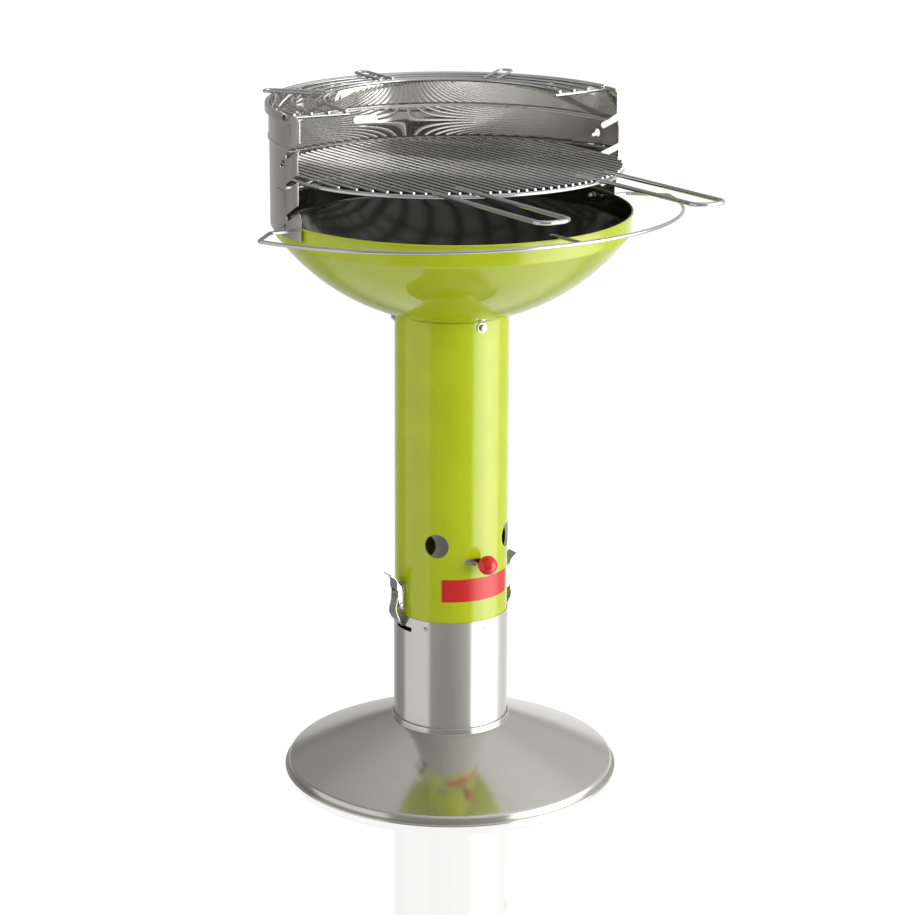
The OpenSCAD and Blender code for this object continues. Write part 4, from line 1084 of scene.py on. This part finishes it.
@dataclass(frozen=True)
class Windshield:
    """The half-round windshield with its slots, bead and hem, and its bolts."""

    in_r: float = 253.0
    t: float = 1.0
    low: float = 812.5
    top: float = 982.0
    bead_z: float = 934.5
    bead_out: float = 2.0
    step: float = 0.8
    hem_r: float = 259.3
    hem_h: float = 11.0
    edge: float = 83.5
    ear_y: float = 6.4
    levels: tuple[float, float, float] = (839.2, 881.2, 923.2)
    rise: float = 26.0
    slot_w: float = 9.0
    wire_d: float = 5.0
    gap: float = 0.3
    slit_w: float = 0.5
    tabs: tuple[Tab, ...] = (Tab(92.5, 958.0, 30.0, 22.0), Tab(97.2, 863.2, 34.0, 24.0))
    tab_lift: float = 1.0
    # From where to where the tools reach that cut through the rolled sheet
    through: Flat = (250.0, 262.0)
    spring_out: float = 4.5
    spring_span: float = 9.0
    bolt_bearings: tuple[float, float, float] = (-95.0, 95.0, 180.0)

    def build(self) -> None:
        """Builds and dresses the windshield, its bolts, spacers and dome nuts."""
        faces = [SATIN_STAINLESS, BUFFED_STAINLESS]
        look = (Body.STAND, "shield_steel", faces, ["windshield"], self.cuts())
        shape = self.sheet_metal()
        piece(shape, "windshield_rolled", *look, field=self.direction, shift=self.sprung)
        self.bolts()

    def sheet_metal(self) -> Shape:
        """Rolls the sheet with its bead and its hem."""
        mid, top = self.in_r + self.t / 2, self.top - self.t / 2
        upper = mid + self.step
        flat = [(mid, z) for z in evenly(self.low, self.bead_z - 3.6, 4.0)]
        for s in range(-6, 7):
            bulge = self.bead_out * math.cos(math.radians(15 * s)) ** 1.5
            flat.append((mid + self.step / 2 * (1 + s / 6) + bulge, self.bead_z + 3.3 * s / 6))
        flat += [(upper, z) for z in evenly(self.bead_z + 3.8, self.top - 5.0, 4.0)]
        hem = [flat[-1], (upper, top), (self.hem_r, top), (self.hem_r, self.top - self.hem_h)]
        path = flat + rounded(hem, [0, 2.0, 2.0, 0], steps=6)[1:]
        # The inner face comes first; it is buffed up to the middle of the hem's first bend
        n, buffed = len(path), len(flat) + 4
        kinds = [1] * buffed + [0] * (2 * n - buffed)
        sweep = (self.edge, 360.0 - self.edge)
        return Shape().turned(sheet(path, self.t), sweep=sweep, steps=150, kinds=kinds)

    def cuts(self) -> Shape:
        """The tools that open the sheet's slots, slits, keyholes and notches."""
        tools, top, (s, c) = Shape(), self.top, self.slope()
        keyhole = arc((0.0, 0.0), 5.6, 0, 308, 24) + self.round_end((11 * c, -11 * s), 2.4, 8)
        hem_end = [(-9.0, -9.0), (-9.0, 2.5), (9.0, 2.5), (6.0, -3.0), (1.5, -7.0)]
        for side in (-1, 1):
            for z in self.levels:
                slot = [(side * v, w) for v, w in self.slot(z)]
                tools.plate(slot, 235.0, 275.0, facing(90.0 * side))
            hem = slab(254.85, self.through[1], top - 12.5, top + 2.5)
            tools.turned(hem, sweep=(side * (self.edge - 2), side * 92.25), steps=8)
            notch = slab(-2.8, 2.8, top - 8.6, top + 5.5, 0.3)
            tools.plate(notch, *self.through, facing(side * 91.35))
            at = facing(side * self.edge)
            tools.plate([(side * v, top + w) for v, w in hem_end], 250.0, 257.0, at)
            for tab in self.tabs:
                tools.plate(self.slit(tab), *self.through, facing(side * tab.bearing, tab.z))
            at = facing(side * 94.6, self.levels[2] - 11.0)
            tools.plate([(side * v, w) for v, w in keyhole], *self.through, at)
            small = slab(-3.0, 3.0, self.low + 14.0, self.low + 18.0, 0.4)
            tools.plate(small, *self.through, facing(side * 93.8))
        for z in self.levels:
            rest = slab(-20.5, 20.5, z - 11.7, z + 0.3, 5.95)
            tools.plate(rest, *self.through, facing(180.0))
        return tools

    def slope(self) -> Flat:
        """Sine and cosine of the slots' rise."""
        return math.sin(math.radians(self.rise)), math.cos(math.radians(self.rise))

    def round_end(self, centre: Flat, radius: float, steps: int) -> list[Flat]:
        """The round end of a sloping slot."""
        return arc(centre, radius, -90 - self.rise, 90 - self.rise, steps)

    def slot(self, z: float) -> list[Flat]:
        """The outline of a slot that slopes from outside the sheet to a cross wire's seat."""
        half, (s, c) = self.slot_w / 2, self.slope()
        play = half - self.wire_d / 2 - self.gap
        seat = (self.ear_y + play * s + self.gap * c, z + play * c - self.gap * s)
        edge_y = -(self.in_r + self.t / 2) * math.cos(math.radians(self.edge))
        mouth = (seat[0] - edge_y) / c + 30
        far = (seat[0] - c * mouth, seat[1] + s * mouth)
        first, last = (far[0] - half * s, far[1] - half * c), (far[0] + half * s, far[1] + half * c)
        return [first, *self.round_end(seat, half, 14), last]

    def slit(self, tab: Tab) -> list[Flat]:
        """The outline of the slit round a tab's sides and top."""
        x, y = tab.w / 2, tab.h / 2
        a, b = x - self.slit_w, y - self.slit_w
        return [(-x, -y), (-x, y), (x, y), (x, -y), (a, -y), (a, b), (-a, b), (-a, -y)]

    def spring(self, bearing: np.ndarray, z: np.ndarray) -> np.ndarray:
        """How far the free sheet beside the slots springs outwards, in millimetres."""
        near = np.clip(1 - np.abs(np.abs(bearing) - self.edge) / self.spring_span, 0, 1)
        low = np.clip((z - self.low - 30.0) / 16.0, 0, 1)
        high = np.clip((self.bead_z + 6.0 - z) / 14.0, 0, 1)
        return self.spring_out * eased(near) * eased(low) * eased(high)

    def sprung(self, points: np.ndarray) -> np.ndarray:
        """Moves points outwards by the sheet's spring and the lift of the tabs' tops."""
        bearing, z = bearings(points), points[:, 2]
        away, margin = self.spring(bearing, z), 0.6 * self.slit_w
        for tab in self.tabs:
            v = np.abs(self.in_r * np.sin(np.radians(np.abs(bearing) - tab.bearing)))
            up = (z - tab.z) / tab.h + 0.5
            inside = (v < tab.w / 2 - margin) & (up > 0) & (up < 1 - margin / tab.h)
            away = away + np.where(inside & (np.abs(bearing) > 45), self.tab_lift * up, 0.0)
        return points + outwards(points) * away[:, None]

    def direction(self, points: np.ndarray) -> np.ndarray:
        """The true direction of the sheet's faces at points."""
        bearing, z, turn, rise = bearings(points), points[:, 2], 0.2, 0.5
        change = self.spring(bearing + turn, z) - self.spring(bearing - turn, z)
        slope_b = change / (math.radians(2 * turn) * self.in_r)
        slope_z = (self.spring(bearing, z + rise) - self.spring(bearing, z - rise)) / (2 * rise)
        out = outwards(points)
        along = np.stack([-out[:, 1], out[:, 0], np.zeros(len(out))], 1)
        way = out - along * slope_b[:, None] - np.array([0.0, 0.0, 1.0]) * slope_z[:, None]
        return way / np.linalg.norm(way, axis=1)[:, None]

    def bolts(self) -> None:
        """Turns the bolts, the spacers on them and the dome nuts inside the bowl."""
        heads, spacers, nuts = Shape(), Shape(), Shape()
        head = [(5.5, 0.0), (5.4, 1.55), (3.6, 3.15), (0.0, 3.35)]
        bolt = screw(242.8, 254.05, head, [0, 0.2, 1.4, 3.0, 0])
        hexagon = arc((0.0, 0.0), 5.77, 0, 300, 5)
        dome = [(0.0, 239.3), *arc((0.0, 244.0), 4.75, -88, 0, 14), (0.0, 244.0)]
        for bearing in self.bolt_bearings:
            at = facing(bearing, self.low + 8.0)
            heads.turned(bolt, at, steps=44)
            spacers.turned(slab(3.1, 5.0, 250.05, 252.95), at, steps=40)
            nuts.plate(hexagon, 243.4, 248.4, at)
            nuts.turned(dome, at, steps=40)
            nuts.turned(slab(0.0, 6.6, 248.2, 248.75), at, steps=40)
        fastener(heads, "shield_bolts_turned", "shield_bolts", ZINC_PLATE)
        fastener(spacers, "shield_spacers_turned", "shield_spacers", ZINC_PLATE)
        fastener(nuts, "shield_nuts_domed", "shield_nuts", CHROME_PLATE, 28.0)


@dataclass(frozen=True)
class CookingGrate:
    """The cooking grate: rim, bars, cross wire, tongue and two handles."""

    centre_z: float = 886.7
    tilt: float = 1.55
    r: float = 236.0
    rim_d: float = 6.0
    bar_d: float = 4.0
    bars_half: int = 18
    pitch: float = 12.35
    support_d: float = 5.0
    drop: float = 5.3
    cross_y: float = 6.5
    cross_end: float = 257.8
    tongue_y: float = 254.5
    tongue_half: float = 14.0
    handle_d: float = 6.0
    leg_in: float = 94.11
    leg_out: float = 140.54
    root: float = 172.0
    reach: float = 457.0

    def build(self) -> None:
        """Builds and dresses the grate's wires."""
        at = tilted(0.0, self.centre_z, self.tilt)
        turn = np.linspace(0, 2 * math.pi, 220, endpoint=False)
        ring = [(self.r * math.sin(a), self.r * math.cos(a), 0.0) for a in turn]
        rim = Shape().wire(ring, self.rim_d, True, 20, at)
        chromed(rim, "grate_rim_wire", Body.GRATE, "grate_rim")
        bars = Shape()
        for i in range(-self.bars_half, self.bars_half + 1):
            x = i * self.pitch
            half = math.sqrt(self.r**2 - x**2) + 1.5
            bars.wire([(x, -half, 4.8), (x, half, 4.8)], self.bar_d, False, 16, at)
        chromed(bars, "grate_bar_wires", Body.GRATE, "grate_bars")
        chromed(self.supports(at), "grate_support_wires", Body.GRATE, "grate_supports")
        for side in Side:
            x, y = (side.value * self.leg_in, side.value * self.leg_out), (-self.root, -self.reach)
            bend = 0.36 * (self.leg_out - self.leg_in)
            legs = [(x[0], y[0]), (x[0], y[1]), (x[1], y[1]), (x[1], y[0])]
            path = [(*p, 5.8) for p in rounded(legs, bend, steps=18)]
            handle = Shape().wire(path, self.handle_d, False, 22, at)
            node = f"grate_handle_{side.name.lower()}"
            chromed(handle, f"{node}_wire", Body.GRATE, node)

    def supports(self, at: Matrix) -> Shape:
        """Bends the cross wire under the bars and the tongue at the back."""
        low, knee, lift = -self.drop, self.r - self.rim_d - 1, 0.5
        half = [(9 - knee, lift), (-knee, low), (-self.cross_end, low)]
        cross = half[::-1] + [(-x, z) for x, z in half]
        path = [(x, self.cross_y, z) for x, z in rounded(cross, 5.0, steps=7)]
        wires = Shape().wire(path, self.support_d, False, 18, at)
        v, back, root = self.tongue_half, self.tongue_y, self.r - 30
        tongue = rounded([(-v, root), (-v, back), (v, back), (v, root)], 6.0, steps=8)
        return wires.wire([(*p, low) for p in tongue], self.support_d, False, 18, at)


@dataclass(frozen=True)
class WarmingRack:
    """The warming rack: four hoops, two end wires and three hairpin hooks."""

    z: float = 976.2
    r: float = 245.5
    in_r: float = 171.5
    back: float = 16.0
    d: float = 5.0
    thin_d: float = 4.0
    weld: float = 0.2
    slant: float = 6.0
    end_x: float = 256.0
    end_y: float = 6.0
    hook_step: float = 47.0
    hook_w: float = 20.0
    hook_z: float = 8.1
    tip_r: float = 270.8

    def build(self) -> None:
        """Builds and dresses the rack's wires."""
        inner, hoops, ends, hooks = Shape(), Shape(), Shape(), Shape()
        self.hoop(inner, 3, self.d, self.z + self.d - self.weld)
        for i in range(3):
            self.hoop(hoops, i, self.thin_d, self.z + (self.d + self.thin_d) / 2 - self.weld)
        for side in (-1, 1):
            x = self.in_r - 7
            line = [(self.end_x, self.end_y), (self.r + 2.0, self.end_y), (x, self.line_y(x))]
            path = [(side * p[0], p[1], self.z) for p in rounded(line, 6.0, steps=7)]
            ends.wire(path, self.d, False, 18)
        for i in (-1, 0, 1):
            self.hairpin(hooks, i)
        chromed(inner, "rack_inner_wire", Body.RACK, "rack_inner_hoop")
        chromed(hoops, "rack_hoop_wires", Body.RACK, "rack_hoops")
        chromed(ends, "rack_end_wires_bent", Body.RACK, "rack_end_wires")
        chromed(hooks, "rack_hook_wires", Body.RACK, "rack_hooks")

    def line_y(self, x: float) -> float:
        """Where an end wire runs at a distance from the middle."""
        return self.end_y - (self.r + 6.0 - x) * math.tan(math.radians(self.slant))

    def hoop(self, shape: Shape, i: int, d: float, z: float) -> None:
        """Bends one hoop between its two ends, the outer one being number 0."""
        r, y = self.r + (self.in_r - self.r) * i / 3, self.back * i / 3
        start = math.degrees(math.asin((self.line_y(r) - y - self.d) / r))
        path = [(*p, z) for p in arc((0.0, y), r, start, 180 - start, 130)]
        shape.wire(path, d, False, 16)

    def hairpin(self, shape: Shape, i: int) -> None:
        """Bends one hook: two legs from the inner hoop to over the hem, joined at the tip."""
        half, turn = self.hook_w / 2, math.radians(i * self.hook_step)
        across, out = self.back * math.sin(turn), self.back * math.cos(turn) + 0.4 * self.d
        root = [out + math.sqrt(self.in_r**2 - (v + across) ** 2) for v in (-half, half)]
        legs = [(-half, root[0]), (-half, self.tip_r), (half, self.tip_r), (half, root[1])]
        path = [(v, self.z + self.hook_z, u) for v, u in rounded(legs, 0.9 * half, steps=12)]
        shape.wire(path, self.thin_d, False, 16, facing(180 + i * self.hook_step))


@dataclass(frozen=True)
class ToolRing:
    """The wire ring round the bowl's front that utensils hang on, and its stub."""

    r: float = 336.0
    half_w: float = 326.0
    front: float = 310.0
    d: float = 5.2
    bend: float = 12.0
    pivot_y: float = 5.0
    z: float = 824.5
    knee_x: float = 288.0
    end_x: float = 243.8
    tilt: float = 2.32
    stub_x: float = 15.0

    def build(self) -> None:
        """Builds and dresses the ring and its stub."""
        at, pivot = tilted(-self.pivot_y, self.z, self.tilt), -self.pivot_y
        mid_y = self.r - self.front
        side = math.degrees(math.asin(self.half_w / self.r)) - 3
        run = (math.cos(math.radians(side)), math.sin(math.radians(side)))
        tip = (self.r * run[1], mid_y - self.r * run[0])
        reach = (self.half_w + self.bend / 8 - tip[0]) / run[0]
        peak = (tip[0] + run[0] * reach, tip[1] + run[1] * reach)
        knee = [tip, peak, (self.knee_x, pivot), (self.end_x, pivot)]
        right = rounded(knee, self.bend, steps=12)
        front = arc((0.0, mid_y), self.r, -90 - side, -90 + side, 150)
        path = [(-x, y) for x, y in reversed(right)] + front[1:-1] + right
        ring = Shape().wire([(*p, 0.0) for p in path], self.d, False, 20, at)
        chromed(ring, "tool_ring_wire", Body.RING, "utensil_ring")
        stub = rounded([(self.front - 2.5, 0.0), (234.8, 0.0), (231.8, -8.0)], 5.0, steps=8)
        path = [(self.stub_x, -u, z) for u, z in stub]
        wire = Shape().wire(path, self.d - 0.4, False, 18, at)
        chromed(wire, "tool_ring_stub", Body.RING, "ring_stub")


# ---------------------------------------------------------------- studio


class Along(Enum):
    """Which measure of a direction decides how much of a glow it shows."""

    UP = "how far it points up"
    NEAR = "how far it points to the camera"


@dataclass(frozen=True)
class Glow:
    """Light on part of the room, from where none of it shows to where all of it does."""

    along: Along
    shown: Flat
    sides: Flat
    low: bool = False


@dataclass(frozen=True)
class Studio:
    """A white sweep with two tall soft walls of light, and the camera."""

    view_bearing: float = -30.3
    view_pitch: float = 16.51
    view_across: Flat = (0.5045, 0.8634)
    view_roll: float = 0.0047
    view_place: tuple[float, float, float] = (-1.9424, -3.3240, 1.6085)
    lens_mm: float = 110.37
    lens_shift: float = 0.00663
    floor_half: float = 9.0
    floor_grey: float = 0.85
    floor_shine: float = 0.12
    key: float = 1.45
    fill: float = 0.44
    behind: float = 1.25
    # Light by bearing from the camera, and by the upward part of the direction
    walls: tuple[Flat, ...] = (
        (-180.0, 0.15), (-150.0, 0.25), (-112.0, 0.25), (-103.0, 0.95), (-47.0, 1.05),
        (-40.0, 0.34), (0.0, 0.3), (40.0, 0.42), (49.0, 3.8), (64.0, 4.7), (78.0, 5.7),
        (92.0, 4.2), (104.0, 3.1), (114.0, 0.9), (150.0, 0.5), (180.0, 0.4))
    wall_height: tuple[Flat, ...] = ((-0.76, 0.0), (-0.6, 1.0), (0.32, 1.0), (0.6, 0.0))
    # Floor, ceiling and the low far horizon, each with its light far left and far right
    glows: tuple[Glow, ...] = (
        Glow(Along.UP, (-0.6, -0.8), (0.8, 1.8)),
        Glow(Along.UP, (0.1, 0.85), (0.37, 1.11)),
        Glow(Along.NEAR, (-0.6, -1.0), (0.35, 0.7), low=True))

    def build(self) -> None:
        """Builds the floor, the light and the camera."""
        bpy.context.scene.view_settings.view_transform = "Standard"
        self.floor()
        self.light()
        self.camera()

    def floor(self) -> None:
        """Lays the pale floor. Metal doesn't see it, so that the walls of light reach below it."""
        mesh, h = bpy.data.meshes.new("floor"), self.floor_half
        mesh.from_pydata([(-h, -h, 0), (h, -h, 0), (h, h, 0), (-h, h, 0)], [], [(0, 1, 2, 3)])
        ground = bpy.data.objects.new("floor", mesh)
        bpy.context.scene.collection.objects.link(ground)
        paint = bpy.data.materials.new("white sweep")
        paint.use_nodes = True
        tree = paint.node_tree
        tree.nodes.clear()
        white, grey = (1.0, 1.0, 1.0, 1.0), (*[self.floor_grey] * 3, 1.0)
        seen = add(tree, "ShaderNodeLightPath").outputs["Is Camera Ray"]
        matte = add(tree, "ShaderNodeBsdfDiffuse", None, {"Color": grey})
        glow = add(tree, "ShaderNodeEmission", None, {"Color": white, "Strength": 1.0})
        mirror: Inputs = {"Color": white, "Roughness": 0.0}
        shine = add(tree, "ShaderNodeBsdfAnisotropic", None, mirror)
        pale = blend(tree, self.floor_shine, glow.outputs[0], shine.outputs[0])
        both = blend(tree, seen, matte.outputs[0], pale.outputs[0])
        add(tree, "ShaderNodeOutputMaterial", None, {"Surface": both.outputs[0]})
        mesh.materials.append(paint)
        ground.visible_glossy = False

    def towards(self, tree: Tree, way: Socket, turn: float) -> Socket:
        """How far a direction points to a bearing, given from the camera's."""
        inputs: Inputs = {0: way, 1: polar(1.0, self.view_bearing + turn, 0.0)}
        dot = add(tree, "ShaderNodeVectorMath", {"operation": "DOT_PRODUCT"}, inputs)
        return dot.outputs["Value"]

    def either(self, tree: Tree, share: Socket, first: Socket, second: Socket | float) -> Socket:
        """The first value where a share is 0 and the second where it is 1."""
        inputs: Inputs = {0: share, 2: first, 3: second}
        return add(tree, "ShaderNodeMix", {"data_type": "FLOAT"}, inputs).outputs[0]

    def light(self) -> None:
        """Lights the room by direction: walls of light, a dark front, a pale dome and floor."""
        world = bpy.data.worlds.new("studio")
        bpy.context.scene.world = world
        world.use_nodes = True
        tree = world.node_tree
        tree.nodes.clear()
        way = add(tree, "ShaderNodeTexCoord").outputs["Generated"]
        near, right = self.towards(tree, way, 0.0), self.towards(tree, way, 90.0)
        up = add(tree, "ShaderNodeSeparateXYZ", None, {0: way}).outputs[2]
        turn = spread(tree, maths(tree, "ARCTAN2", right, near), (-math.pi, math.pi))
        top = max(light for _, light in self.walls)
        stops = [(0.5 + bearing / 360.0, light / top) for bearing, light in self.walls]
        walls = maths(tree, "MULTIPLY", ramp(tree, turn, stops), top)
        stops = [(0.5 + rise / 2.0, light) for rise, light in self.wall_height]
        lit = maths(tree, "MULTIPLY", walls, ramp(tree, spread(tree, up, (-1.0, 1.0)), stops))
        mirrored, measures = lit, {Along.UP: up, Along.NEAR: near}
        for glow in self.glows:
            share = spread(tree, measures[glow.along], glow.shown, smooth=True)
            light = spread(tree, right, (-0.7, 0.7), glow.sides)
            if glow.low:
                light = maths(tree, "MULTIPLY", light, spread(tree, up, (0.22, 0.02), smooth=True))
            mirrored = maths(tree, "ADD", mirrored, maths(tree, "MULTIPLY", share, light))
        soft = maths(tree, "MULTIPLY_ADD", lit, self.key, self.fill)
        rays = add(tree, "ShaderNodeLightPath").outputs
        # Matt surfaces get the soft light, blurred mirrors see the whole room, and the
        # floor's clear shine sees one even white, as the camera does
        seen = self.either(tree, rays["Is Glossy Ray"], soft, mirrored)
        seen = self.either(tree, rays["Is Singular Ray"], seen, self.behind)
        seen = self.either(tree, rays["Is Camera Ray"], seen, 1.0)
        inputs: Inputs = {"Color": (1.0, 1.0, 1.0, 1.0), "Strength": seen}
        back = add(tree, "ShaderNodeBackground", None, inputs)
        add(tree, "ShaderNodeOutputWorld", None, {"Surface": back.outputs[0]})

    def camera(self) -> None:
        """Stands the camera where the photograph was taken from."""
        lens = bpy.data.cameras.new("camera")
        lens.lens, lens.sensor_width, lens.shift_x = self.lens_mm, 36.0, self.lens_shift
        lens.clip_start, lens.clip_end = 0.1, 50.0
        camera = bpy.data.objects.new("camera", lens)
        bpy.context.scene.collection.objects.link(camera)
        pitch, (x, y) = math.radians(self.view_pitch), self.view_across
        look = Vector((x * math.cos(pitch), y * math.cos(pitch), -math.sin(pitch)))
        turn = look.to_track_quat("-Z", "Y").to_matrix().to_4x4()
        turn = turn @ Matrix.Rotation(self.view_roll, 4, "Z")
        camera.matrix_world = Matrix.Translation(self.view_place) @ turn
        bpy.context.scene.camera = camera


def main() -> None:
    """Builds the studio and every sub-assembly."""
    logging.basicConfig(level=logging.INFO, format="%(message)s")
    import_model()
    Studio().build()
    parts = (
        FootAndPot(), Column(), Latch(Side.LEFT), Latch(Side.RIGHT), Bowl(), Windshield(),
        CookingGrate(), WarmingRack(), ToolRing())
    for part in parts:
        part.build()
        LOG.info("%s is done", type(part).__name__)


if __name__ == "__main__":
    main()
